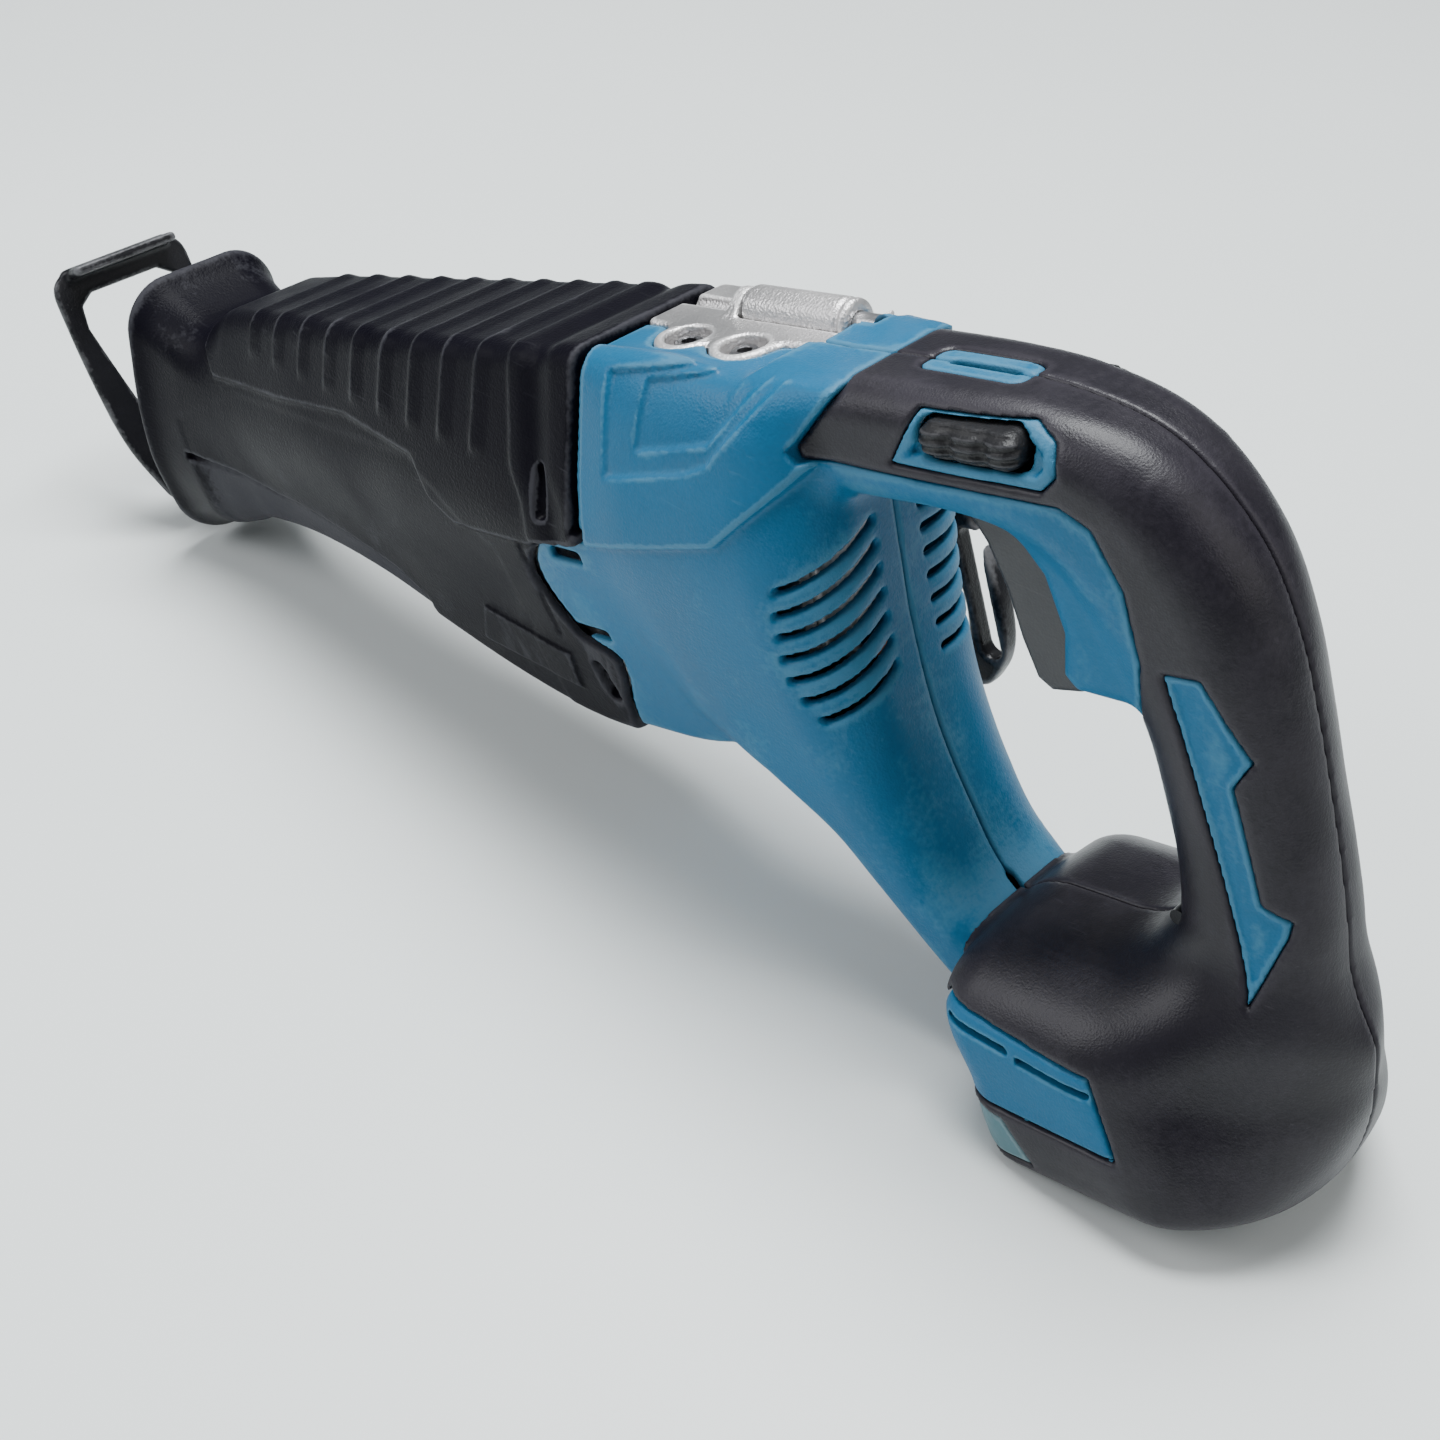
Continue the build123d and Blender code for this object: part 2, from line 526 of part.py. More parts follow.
def hook_bracket():
    """The bright plate on the head with the hinge ears of the hook."""
    z_low = HEAD_TOP - BRACKET_THICKNESS
    plate = span((HOOK_X - 24 + FIT_GAP, HOOK_Y - 12, z_low), (SEAM_X, 14, HEAD_TOP + 1))
    hinge_z = hinge_height()
    half = HOOK_BARREL_LENGTH / 2
    for low, high in ((-half - 5, -half - SLIDE_GAP), (half + SLIDE_GAP, half + 5)):
        ear = rod_along((HOOK_X + low, HOOK_Y, hinge_z), (1, 0, 0), HOOK_BARREL_RADIUS - 1, high - low)
        ear += span((HOOK_X + low, HOOK_Y - 7, HEAD_TOP - 1), (HOOK_X + high, HOOK_Y + 7, hinge_z))
        plate += ear
    plate -= span((HOOK_X - half - SLIDE_GAP, HOOK_Y - 20, HEAD_TOP - 10),
                  (HOOK_X + half + SLIDE_GAP, HOOK_Y + HOOK_BARREL_RADIUS + 1, HEAD_TOP + 20))
    plate -= rod_along((HOOK_X - 40, HOOK_Y, hinge_z), (1, 0, 0), HOOK_PIN_RADIUS, 80)
    for x, y in bracket_holes():
        plate -= rod_along((x, y, z_low - 1), (0, 0, 1), SCREW_RADIUS + 0.3, 20)
        plate -= rod_along((x, y, z_low + 2), (0, 0, 1), BRACKET_HOLE_RADIUS, 20)
    return largest(plate)


def hook():
    """The folding hook: a barrel on the head and a bent arm down the right side."""
    hinge_z = hinge_height()
    barrel = rod_along((HOOK_X - HOOK_BARREL_LENGTH / 2, HOOK_Y, hinge_z), (1, 0, 0),
                       HOOK_BARREL_RADIUS, HOOK_BARREL_LENGTH)
    y_outer = -(HEAD_HALF_WIDTH + 3 + HOOK_BAR)
    rear = HOOK_X - HOOK_WIDTH / 2
    front = HOOK_X + HOOK_WIDTH / 2
    reach = span((rear, y_outer, hinge_z - 1), (front, HOOK_Y, hinge_z + 5))
    arm = span((rear, y_outer, hinge_z - HOOK_DROP), (front, y_outer + HOOK_BAR, hinge_z + 5))
    arm += span((rear - 14, y_outer, hinge_z - HOOK_DROP), (front, y_outer + HOOK_BAR,
                                                         hinge_z - HOOK_DROP + 16))
    body = barrel + reach + arm
    body = fillet(body.edges().filter_by(Axis.X).group_by(Axis.Y)[0], 2.5)
    body -= rod_along((HOOK_X - 60, HOOK_Y, hinge_z), (1, 0, 0), HOOK_PIN_RADIUS + RUN_GAP, 120)
    return largest(body)


def hook_pieces():
    """The hook, its bracket, its pin and the bracket's screws."""
    hinge_z = hinge_height()
    pin = rod_along((HOOK_X - HOOK_BARREL_LENGTH / 2 - 6.5, HOOK_Y, hinge_z), (1, 0, 0),
                    HOOK_PIN_RADIUS, HOOK_BARREL_LENGTH + 13)
    screws = []
    for x, y in bracket_holes():
        head = rod_along((x, y, HEAD_TOP - BRACKET_THICKNESS + 2), (0, 0, 1), SCREW_HEAD_RADIUS, 3)
        head -= Pos(x, y, HEAD_TOP) * extrude(RegularPolygon(2.0, 6), amount=-2.0)
        shank = rod_along((x, y, HEAD_TOP - 22), (0, 0, 1), SCREW_RADIUS, 20)
        screws.append(head + shank)
    return {"hook_bracket": hook_bracket(), "hook": hook(), "hook_pin": pin,
            "bracket_screws": Compound(children=screws)}


# ---- drive --------------------------------------------------------------------------------
def bevel_tooth(axis_origin, radial, normal, pitch_offset, thickness_sign):
    """One straight bevel tooth, tapering towards the crossing of the two axes."""
    ends = []
    for reach in (GEAR_RADIUS - FACE_WIDTH, GEAR_RADIUS):
        scale = reach / GEAR_RADIUS
        middle = axis_origin + radial * reach + normal * (pitch_offset * scale)
        plane = Plane(origin=middle, x_dir=normal, z_dir=radial)
        height = TOOTH_HEIGHT * scale
        ends.append(plane * Rectangle(height + 0.6 * scale, TOOTH_WIDTH * scale,
                                      align=(Align.MAX if thickness_sign > 0 else Align.MIN,
                                             Align.CENTER)))
    lift = normal * (thickness_sign * TOOTH_HEIGHT / 2)
    return Pos(*lift) * loft(ends, ruled=True)


def crank_gear():
    """The bevel gear that carries the crank pin."""
    apex = Vector(CRANK_X, MOTOR_Y, AXIS_Z)
    root = GEAR_FACE_Y - TOOTH_HEIGHT / 2 - 0.3
    body = rod_along((CRANK_X, GEAR_BACK_Y, AXIS_Z), (0, 1, 0), GEAR_RADIUS + 0.5, root - GEAR_BACK_Y)
    body += rod_along((CRANK_X, GEAR_BACK_Y, AXIS_Z), (0, 1, 0), GEAR_RADIUS - FACE_WIDTH - 1,
                      GEAR_FACE_Y + 2.0 - GEAR_BACK_Y)
    teeth = []
    for index in range(GEAR_TEETH):
        turn = 2 * pi * index / GEAR_TEETH
        radial = Vector(cos(turn), 0, sin(turn))
        radial = MOTOR_DIRECTION * cos(turn) + Vector(0, 1, 0).cross(MOTOR_DIRECTION) * sin(turn)
        teeth.append(bevel_tooth(apex, radial, Vector(0, 1, 0), -PINION_RADIUS, 1))
    body = body.fuse(*teeth) if teeth else body
    body -= rod_along((CRANK_X, GEAR_BACK_Y - 1, AXIS_Z), (0, 1, 0), SHAFT_RADIUS + 1, 60)
    body -= rod_along((YOKE_X, GEAR_BACK_Y - 1, AXIS_Z), (0, 1, 0), CRANK_PIN_RADIUS, 60)
    return largest(body)


def pinion():
    """The small bevel pinion on the motor shaft, half a tooth out of step with the gear."""
    apex = Vector(CRANK_X, MOTOR_Y, AXIS_Z)
    small = (GEAR_RADIUS - FACE_WIDTH) / GEAR_RADIUS
    root = PINION_RADIUS - TOOTH_HEIGHT / 2 - 0.3
    plane = Plane(origin=on_motor_axis(GEAR_RADIUS - FACE_WIDTH), z_dir=MOTOR_DIRECTION)
    body = plane * Cone(root * small, root, FACE_WIDTH, align=(Align.CENTER, Align.CENTER, Align.MIN))
    body += rod_along(on_motor_axis(GEAR_RADIUS - 0.01), MOTOR_DIRECTION, root, 5)
    side = MOTOR_DIRECTION.cross(Vector(0, 1, 0))
    teeth = []
    for index in range(PINION_TEETH):
        turn = 2 * pi * (index + 0.5) / PINION_TEETH
        normal = Vector(0, -1, 0) * cos(turn) + side * sin(turn)
        ends = []
        for reach in (GEAR_RADIUS - FACE_WIDTH, GEAR_RADIUS):
            scale = reach / GEAR_RADIUS
            middle = apex + MOTOR_DIRECTION * reach + normal * (PINION_RADIUS * scale)
            tooth_plane = Plane(origin=middle, x_dir=normal, z_dir=MOTOR_DIRECTION)
            ends.append(tooth_plane * Rectangle(TOOTH_HEIGHT * scale + 0.7 * scale, TOOTH_WIDTH * scale))
        teeth.append(Pos(*(normal * -0.35)) * loft(ends, ruled=True))
    body = body.fuse(*teeth)
    body -= rod_along(on_motor_axis(0), MOTOR_DIRECTION, SHAFT_RADIUS - 1.5, 200)
    return largest(body)


def drive_rod():
    """The rod with its slotted yoke behind and the blade socket in front."""
    yoke = span((YOKE_X - YOKE_HALF_LENGTH, YOKE_Y - YOKE_THICKNESS / 2, AXIS_Z - YOKE_HALF_HEIGHT),
                (YOKE_X + YOKE_HALF_LENGTH, YOKE_Y + YOKE_THICKNESS / 2, AXIS_Z + YOKE_HALF_HEIGHT))
    yoke = fillet(yoke.edges().filter_by(Axis.Y), 6)
    slot = span((YOKE_X - SLOT_HALF, -60, AXIS_Z - YOKE_HALF_HEIGHT + YOKE_RAIL),
                (YOKE_X + SLOT_HALF, 60, AXIS_Z + YOKE_HALF_HEIGHT - YOKE_RAIL))
    slot = fillet(slot.edges().filter_by(Axis.Y), ROLLER_RADIUS)
    shaft = rod_along((YOKE_X + SLOT_HALF + 1, 0, AXIS_Z), (1, 0, 0), ROD_RADIUS,
                      ROD_FRONT - YOKE_X - SLOT_HALF - 1)
    shaft -= rod_along((nose_at(0.05), 0, AXIS_Z), (1, 0, 0), ROD_RADIUS * 0.55, NOSE_LENGTH * 0.5)
    nose = rod_along((ROD_FRONT - 0.01, 0, AXIS_Z), (1, 0, 0), ROD_RADIUS - 2, CLAMP_LENGTH - 4)
    nose -= span((ROD_FRONT + 4, -BLADE_SLOT / 2, AXIS_Z - ROD_RADIUS - 2),
                 (ROD_FRONT + CLAMP_LENGTH + 5, BLADE_SLOT / 2, AXIS_Z + ROD_RADIUS + 2))
    nose -= rod_along((ROD_FRONT + 12, -20, AXIS_Z), (0, 1, 0), 1.5, 40)
    return largest(yoke - slot + shaft + nose)


def clamp_pieces():
    """The turning sleeve that grips the blade, with its pin, spring and retaining ring."""
    bore = ROD_RADIUS - 2 + RUN_GAP
    sleeve = tube_along((ROD_FRONT + 0.5, 0, AXIS_Z), (1, 0, 0), CLAMP_RADIUS, bore, CLAMP_LENGTH - 8)
    for index in range(8):
        turn = radians(45 * index + 22.5)
        groove = (ROD_FRONT, CLAMP_RADIUS * cos(turn), AXIS_Z + CLAMP_RADIUS * sin(turn))
        sleeve -= rod_along(groove, (1, 0, 0), 1.3, CLAMP_LENGTH)
    spring_room = tube_along((ROD_FRONT + 0.4, 0, AXIS_Z), (1, 0, 0), bore + 2.6, bore - 1, 4.5)
    sleeve -= spring_room
    sleeve -= tube_along((ROD_FRONT + 9, 0, AXIS_Z), (1, 0, 0), ROD_RADIUS + 0.4, bore - 1, 6)
    spring = tube_along((ROD_FRONT + 0.9, 0, AXIS_Z), (1, 0, 0), bore + 2.2, ROD_RADIUS - 1.8, 3.6)
    pin = rod_along((ROD_FRONT + 12, -ROD_RADIUS, AXIS_Z), (0, 1, 0), 1.5, 2 * ROD_RADIUS)
    ring = tube_along((ROD_FRONT + CLAMP_LENGTH - 7, 0, AXIS_Z), (1, 0, 0), ROD_RADIUS + 1,
                      ROD_RADIUS - 2, 1.4)
    return {"blade_clamp_sleeve": largest(sleeve), "clamp_spring": spring, "clamp_pin": pin,
            "clamp_ring": ring}


def crank_pieces():
    """Gear, shaft, pin and roller of the crank, with the bearings it turns in."""
    shaft_start = GEAR_BACK_Y - 14
    shaft = rod_along((CRANK_X, shaft_start, AXIS_Z), (0, 1, 0), SHAFT_RADIUS + 1,
                      GEAR_FACE_Y + 1 - shaft_start)
    pin = rod_along((YOKE_X, GEAR_BACK_Y, AXIS_Z), (0, 1, 0), CRANK_PIN_RADIUS,
                    YOKE_Y + YOKE_THICKNESS / 2 + 1 - GEAR_BACK_Y)
    roller = tube_along((YOKE_X, YOKE_Y - YOKE_THICKNESS / 2 + 0.2, AXIS_Z), (0, 1, 0), ROLLER_RADIUS,
                        CRANK_PIN_RADIUS, YOKE_THICKNESS - 0.4)
    bearing = tube_along((CRANK_X, GEAR_BACK_Y - 12, AXIS_Z), (0, 1, 0), BEARING_RADIUS,
                         SHAFT_RADIUS + 1 + RUN_GAP, 9)
    return {"crank_gear": crank_gear(), "crank_shaft": shaft, "crank_pin": pin,
            "crank_roller": roller, "crank_bearing": bearing}


def motor_pieces():
    """The brushless motor in the leg."""
    start = on_motor_axis(GEAR_RADIUS - FACE_WIDTH + 0.5)
    length = REAR_BEARING_START + BEARING_LENGTH + 1 - GEAR_RADIUS + FACE_WIDTH - 0.5
    thin = SHAFT_RADIUS - 1.5
    shaft = rod_along(start, MOTOR_DIRECTION, thin, length)
    shaft += rod_along(on_motor_axis(GEAR_RADIUS + 5.5), MOTOR_DIRECTION, SHAFT_RADIUS,
                       REAR_BEARING_START + BEARING_LENGTH - GEAR_RADIUS - 5.5)
    core = tube_along(on_motor_axis(STATOR_START + 1), MOTOR_DIRECTION, ROTOR_RADIUS, SHAFT_RADIUS,
                      STATOR_LENGTH - 2)
    hub = tube_along(on_motor_axis(FAN_START), MOTOR_DIRECTION, SHAFT_RADIUS + 2.5, SHAFT_RADIUS, FAN_LENGTH)
    disc = tube_along(on_motor_axis(FAN_START), MOTOR_DIRECTION, STATOR_RADIUS - 1, SHAFT_RADIUS, 1.2)
    plane = Plane(origin=on_motor_axis(FAN_START + FAN_LENGTH / 2), z_dir=MOTOR_DIRECTION)
    blades = []
    for index in range(11):
        blade = Pos((STATOR_RADIUS + 4) / 2, 0, 0) * Rot(0, 0, 25) * Box(STATOR_RADIUS - 6, 1.2, FAN_LENGTH)
        blades.append(plane * Rot(0, 0, 360 * index / 11) * blade)
    fan = (hub + disc).fuse(*blades)
    stator = tube_along(on_motor_axis(STATOR_START), MOTOR_DIRECTION, STATOR_RADIUS, STATOR_RADIUS - 3,
                        STATOR_LENGTH)
    stator_plane = Plane(origin=on_motor_axis(STATOR_START + STATOR_LENGTH / 2), z_dir=MOTOR_DIRECTION)
    teeth = []
    coils = []
    tooth_length = STATOR_RADIUS - 2 - ROTOR_RADIUS - 0.5
    for index in range(6):
        turn = Rot(0, 0, 60 * index)
        centre = ROTOR_RADIUS + 0.5 + tooth_length / 2
        teeth.append(stator_plane * turn * Pos(centre, 0, 0) * Box(tooth_length, 4.2, STATOR_LENGTH))
        coil = Pos(centre - 0.8, 0, 0) * (Box(2.8, 7.0, STATOR_LENGTH + 5) - Box(4.2, 4.4, STATOR_LENGTH + 0.2))
        coils.append(stator_plane * turn * coil)
    stator = stator.fuse(*teeth)
    front = tube_along(on_motor_axis(GEAR_RADIUS + 7), MOTOR_DIRECTION, MOTOR_BEARING_RADIUS,
                       SHAFT_RADIUS + RUN_GAP, BEARING_LENGTH)
    rear = tube_along(on_motor_axis(REAR_BEARING_START), MOTOR_DIRECTION, MOTOR_BEARING_RADIUS,
                      SHAFT_RADIUS + RUN_GAP, BEARING_LENGTH - 1)
    return {"drive_pinion": pinion(), "rotor_shaft": shaft, "rotor_core": core,
            "cooling_fan": largest(fan), "stator_core": largest(stator),
            "stator_coils": Compound(children=[largest(coil) for coil in coils]),
            "motor_front_bearing": front, "motor_rear_bearing": rear}


def rod_guides():
    """The bushes the rod runs in and the felt ring that keeps dust out."""
    rear = tube_along((nose_at(0.02), 0, AXIS_Z), (1, 0, 0), ROD_RADIUS + 1.5, ROD_RADIUS + RUN_GAP,
                      NOSE_LENGTH * 0.12)
    front_start = ROD_FRONT - 8 - NOSE_LENGTH * 0.12
    front = tube_along((front_start, 0, AXIS_Z), (1, 0, 0), ROD_RADIUS + 4, ROD_RADIUS + RUN_GAP,
                       NOSE_LENGTH * 0.1)
    felt = tube_along((front_start - 6, 0, AXIS_Z), (1, 0, 0), ROD_RADIUS + 4, ROD_RADIUS + RUN_GAP, 4)
    return {"rod_rear_bush": rear, "rod_front_bush": front, "rod_dust_seal": felt}


def cover_pieces():
    """The gear case's side cover and its screws."""
    cover = cover_block(0, COVER_THICKNESS) & lofted(nose_rings(), INNER_WALL + 0.5)
    cover -= motor_clearance()
    screws = []
    for x, z in cover_screw_places():
        cover -= rod_along((x, COVER_Y - 5, z), (0, 1, 0), SCREW_RADIUS, 40)
        screw = rod_along((x, COVER_Y - 8, z), (0, 1, 0), SCREW_RADIUS, 8 + COVER_THICKNESS)
        screw += rod_along((x, COVER_Y + COVER_THICKNESS, z), (0, 1, 0), SCREW_HEAD_RADIUS - 0.6, 2.5)
        screws.append(screw)
    return {"gear_case_cover": largest(cover), "cover_screws": Compound(children=screws)}


# ---- shoe ---------------------------------------------------------------------------------
def shoe_pieces():
    """The tilting shoe, its sliding bar, its pivot pin and its lock button."""
    pivot = Pos(SHOE_PIVOT_X, 0, SHOE_PIVOT_Z)
    lean = Rot(0, SHOE_LEAN, 0)
    plate = Pos(9, 0, SHOE_HEIGHT / 2 - 12) * Box(SHOE_THICKNESS, SHOE_WIDTH, SHOE_HEIGHT)
    plate = fillet(plate.edges().filter_by(Axis.X), 8)
    window = Pos(9, 0, SHOE_HEIGHT / 2 - 2) * Box(20, SHOE_WIDTH - 22, SHOE_HEIGHT - 34)
    plate -= fillet(window.edges().filter_by(Axis.X), 6)
    lip = Pos(4, 0, SHOE_HEIGHT - 12 - SHOE_THICKNESS / 2) * Box(10, SHOE_WIDTH - 16, SHOE_THICKNESS)
    plate += lip
    ear_half = SHOE_BAR_WIDTH / 2 + SLIDE_GAP
    for side in (1, -1):
        ear = Pos(4, side * (ear_half + 1.5), 0) * Box(10, 3, 12)
        ear += Pos(0, side * (ear_half + 1.5), 0) * Rot(90, 0, 0) * Cylinder(6, 3)
        plate += ear
    plate -= Rot(90, 0, 0) * Cylinder(SHOE_PIN_RADIUS, 80)
    shoe = pivot * lean * plate
    bar_low = SHOE_BAR_TOP - SHOE_BAR_THICKNESS
    bar = span((SHOE_BAR_REAR, -SHOE_BAR_WIDTH / 2, bar_low), (SHOE_PIVOT_X, SHOE_BAR_WIDTH / 2, SHOE_BAR_TOP))
    bar += pivot * Rot(90, 0, 0) * Cylinder(5, SHOE_BAR_WIDTH)
    bar -= pivot * Rot(90, 0, 0) * Cylinder(SHOE_PIN_RADIUS + RUN_GAP, 80)
    bar -= span((nose_at(0.66) - SHOE_TRAVEL - 4, -4, bar_low - 1), (nose_at(0.66) + 4, 4, bar_low + 2.5))
    pin = pivot * Rot(90, 0, 0) * Cylinder(SHOE_PIN_RADIUS, 2 * (ear_half + 4))
    button_x = nose_at(0.66)
    button = rod_along((button_x, 0, NECK_BOTTOM - 9), (0, 0, 1), 5, 15)
    button += rod_along((button_x, 0, NECK_BOTTOM + 5.5), (0, 0, 1), 3, bar_low - NECK_BOTTOM - 4.5)
    return {"shoe": largest(shoe), "shoe_bar": largest(bar), "shoe_pivot_pin": pin,
            "shoe_lock_button": largest(button)}


# ---- handle controls and base -------------------------------------------------------------
def trigger_pivot():
    """The trigger's pivot, as X and Z."""
    return (BUTTON_X + 4, HANDLE_TOP - 21)


def control_pieces():
    """Trigger, switch, lock-off button and the electrics in the base."""
    x, z = trigger_pivot()
    outline = [
        (x - 12, z + 3), (x + 12, z + 3), (x + 13, z - 12), (x - 4, z - 55), (x - 10, z - 56),
        (x - 27, z - 52), (x - 27, z - 12),
    ]
    trigger = side_prism(outline, -7, 7)
    trigger = fillet(trigger.edges().filter_by(Axis.Y), 2.0)
    trigger -= Pos(x, 0, z) * Rot(90, 0, 0) * Cylinder(2.0 + RUN_GAP, 30)
    pin = Pos(x, 0, z) * Rot(90, 0, 0) * Cylinder(2.0, 2 * (HANDLE_HALF_WIDTH - OVERMOULD - WALL) - 4)
    switch = span((x - 54, -8, z - 50), (x - 38, 8, z - 16))
    switch += span((x - 38.01, -4, z - 40), (x - 36, 4, z - 26))
    button = Pos(BUTTON_X, 0, BUTTON_Z) * Box(BUTTON_LENGTH, 2 * HANDLE_HALF_WIDTH + 6, 2 * BUTTON_RADIUS)
    button = fillet(button.edges().filter_by(Axis.Y), BUTTON_RADIUS - 0.6)
    for side in (1, -1):
        for shift in (-BUTTON_LENGTH / 6, BUTTON_LENGTH / 6):
            place = (BUTTON_X + shift, side * (HANDLE_HALF_WIDTH + 3), BUTTON_Z - 10)
            button -= rod_along(place, (0, 0, 1), 1.0, 20)
    tray = span((38, -24, BAY_HEIGHT + WALL + 0.5), (96, 24, BAY_HEIGHT + WALL + 10))
    tray -= span((40, -22, BAY_HEIGHT + WALL + 2), (94, 22, BAY_HEIGHT + WALL + 12))
    board = span((40, -22, BAY_HEIGHT + WALL + 2), (94, 22, BAY_HEIGHT + WALL + 8))
    block = span((BAY_REAR + 0.5, -18, BAY_HEIGHT - 10), (BAY_REAR + 18, 18, BAY_HEIGHT - 0.2))
    contacts = []
    for y in (-13, -5, 5, 13):
        block -= span((BAY_REAR + 14, y - 0.6, BAY_HEIGHT - 9), (BAY_REAR + 24, y + 0.6, BAY_HEIGHT - 2))
        contacts.append(span((BAY_REAR + 14, y - 0.6, BAY_HEIGHT - 9),
                             (BAY_REAR + 30, y + 0.6, BAY_HEIGHT - 2)))
    screws = []
    for sx, sz in screw_places():
        screws.append(Pos(sx, 0, sz) * Rot(90, 0, 0) * Cylinder(SCREW_RADIUS, 2 * GRIP_HALF_WIDTH - 10))
    return {"trigger": largest(trigger), "trigger_pin": pin, "switch": largest(switch),
            "lock_off_button": largest(button), "controller_tray": largest(tray),
            "controller_board": board, "terminal_block": largest(block),
            "terminal_contacts": Compound(children=contacts),
            "casing_screws": Compound(children=screws)}


# ---- placing and writing ------------------------------------------------------------------
def rest_tilt():
    """How far the saw tips nose-down to stand on the base's front corner and the flange."""
    foot_x = FLANGE_X + sin(radians(FLANGE_RAKE)) * FLANGE_HEIGHT / 2
    return degrees(atan2(FLANGE_FOOT, foot_x - BASE_FRONT_CORNER))


def build_pieces():
    """Every piece in the design frame, by node name."""
    pieces = casing_and_soft()
    pieces["nose_boot"] = boot()
    pieces["gear_case"] = gear_case()
    pieces["drive_rod"] = drive_rod()
    for part in (cover_pieces, hook_pieces, clamp_pieces, crank_pieces, motor_pieces, rod_guides,
                 shoe_pieces, control_pieces):
        pieces.update(part())
    return pieces


def placement(pieces):
    """The location that stands the whole saw on Z = 0, centred on X and Y."""
    tipped = Compound(children=[Rot(0, rest_tilt(), 0) * piece for piece in pieces.values()])
    box = tipped.bounding_box()
    return Pos(-(box.min.X + box.max.X) / 2, -(box.min.Y + box.max.Y) / 2, -box.min.Z) * Rot(0, rest_tilt(), 0)


def main():
    """Build every piece, place it and write it."""
    os.makedirs("parts", exist_ok=True)
    pieces = build_pieces()
    place = placement(pieces)
    for name, piece in pieces.items():
        export_step(place * piece, "parts/" + name + ".step")


if __name__ == "__main__":
    main()
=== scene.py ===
"""The looks of a battery reciprocating saw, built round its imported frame."""
import json
import logging
import math
from dataclasses import dataclass
from enum import Enum
from typing import Callable, Sequence

import bpy
import numpy as np
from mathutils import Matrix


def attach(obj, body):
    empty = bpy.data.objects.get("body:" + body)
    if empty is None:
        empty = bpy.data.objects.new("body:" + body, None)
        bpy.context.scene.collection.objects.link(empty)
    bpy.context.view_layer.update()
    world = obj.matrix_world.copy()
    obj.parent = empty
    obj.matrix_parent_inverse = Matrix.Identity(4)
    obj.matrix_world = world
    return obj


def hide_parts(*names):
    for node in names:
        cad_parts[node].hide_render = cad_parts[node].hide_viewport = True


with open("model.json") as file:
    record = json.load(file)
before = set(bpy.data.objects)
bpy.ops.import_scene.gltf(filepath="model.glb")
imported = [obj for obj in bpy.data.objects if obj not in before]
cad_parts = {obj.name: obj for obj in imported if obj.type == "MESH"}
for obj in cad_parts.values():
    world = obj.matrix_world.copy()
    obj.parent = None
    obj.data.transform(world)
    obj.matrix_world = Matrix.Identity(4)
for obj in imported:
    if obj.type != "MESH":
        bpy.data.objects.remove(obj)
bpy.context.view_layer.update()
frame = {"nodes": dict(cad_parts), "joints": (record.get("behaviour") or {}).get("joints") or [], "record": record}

import openvdb
from mathutils import Matrix, Vector

LOG = logging.getLogger("saw")
MM = 0.001
LIMIT_TRIANGLES = 185000
NOWHERE = -99.0              # a distance so far inside that it never counts in an overlap


class Body(str, Enum):
    """The moving bodies that pieces ride on."""
    HOUSING = "housing"
    HOOK = "hook"
    SHOE = "shoe"
    TRIGGER = "trigger"
    LOCK_OFF = "lock_off"


# ---- forms as distance fields ----------------------------------------------------------------
def smooth_max(a: np.ndarray, b: np.ndarray, blend: float) -> np.ndarray:
    """The overlap of two forms, with the edge between them rounded.

    Args:
        a: distances to the first form, negative inside.
        b: distances to the second form.
        blend: size of the rounding in millimetres.

    Returns:
        Distances to the overlap.
    """
    near = np.maximum(blend - np.abs(a - b), 0.0) / blend
    return np.maximum(a, b) + near * near * (blend / 4)


def smooth_min(a: np.ndarray, b: np.ndarray, blend: float) -> np.ndarray:
    """The union of two forms, with a fillet between them.

    Args:
        a: distances to the first form, negative inside.
        b: distances to the second form.
        blend: size of the fillet in millimetres.

    Returns:
        Distances to the union.
    """
    return -smooth_max(-a, -b, blend)


def rounded(u: np.ndarray, v: np.ndarray, half_u: np.ndarray, half_v: np.ndarray,
            corner: np.ndarray) -> np.ndarray:
    """A rectangle with rounded corners, seen along its run.

    Args:
        u: place across the section.
        v: place up the section.
        half_u: half its width.
        half_v: half its height.
        corner: radius of its corners.

    Returns:
        Distances to the rectangle.
    """
    beyond_u = np.abs(u) - (half_u - corner)
    beyond_v = np.abs(v) - (half_v - corner)
    outside = np.hypot(np.maximum(beyond_u, 0), np.maximum(beyond_v, 0))
    return outside + np.minimum(np.maximum(beyond_u, beyond_v), 0) - corner


def curve(at: np.ndarray, *knots: tuple[float, float]) -> np.ndarray:
    """A smooth line through knots, level beyond its ends.

    Args:
        at: where the line is read.
        knots: pairs of place and value, in order of place.

    Returns:
        The line's value at each place.
    """
    places = np.array([knot[0] for knot in knots], np.float64)
    values = np.array([knot[1] for knot in knots], np.float64)
    slopes = np.gradient(values, places)
    clipped = np.clip(at, places[0], places[-1])
    index = np.clip(np.searchsorted(places, clipped) - 1, 0, len(places) - 2)
    gap = places[index + 1] - places[index]
    t = (clipped - places[index]) / gap
    start = (1 + 2 * t) * (1 - t) ** 2 * values[index] + t * (1 - t) ** 2 * gap * slopes[index]
    end = t * t * (3 - 2 * t) * values[index + 1] - t * t * (1 - t) * gap * slopes[index + 1]
    return (start + end).astype(np.float32)


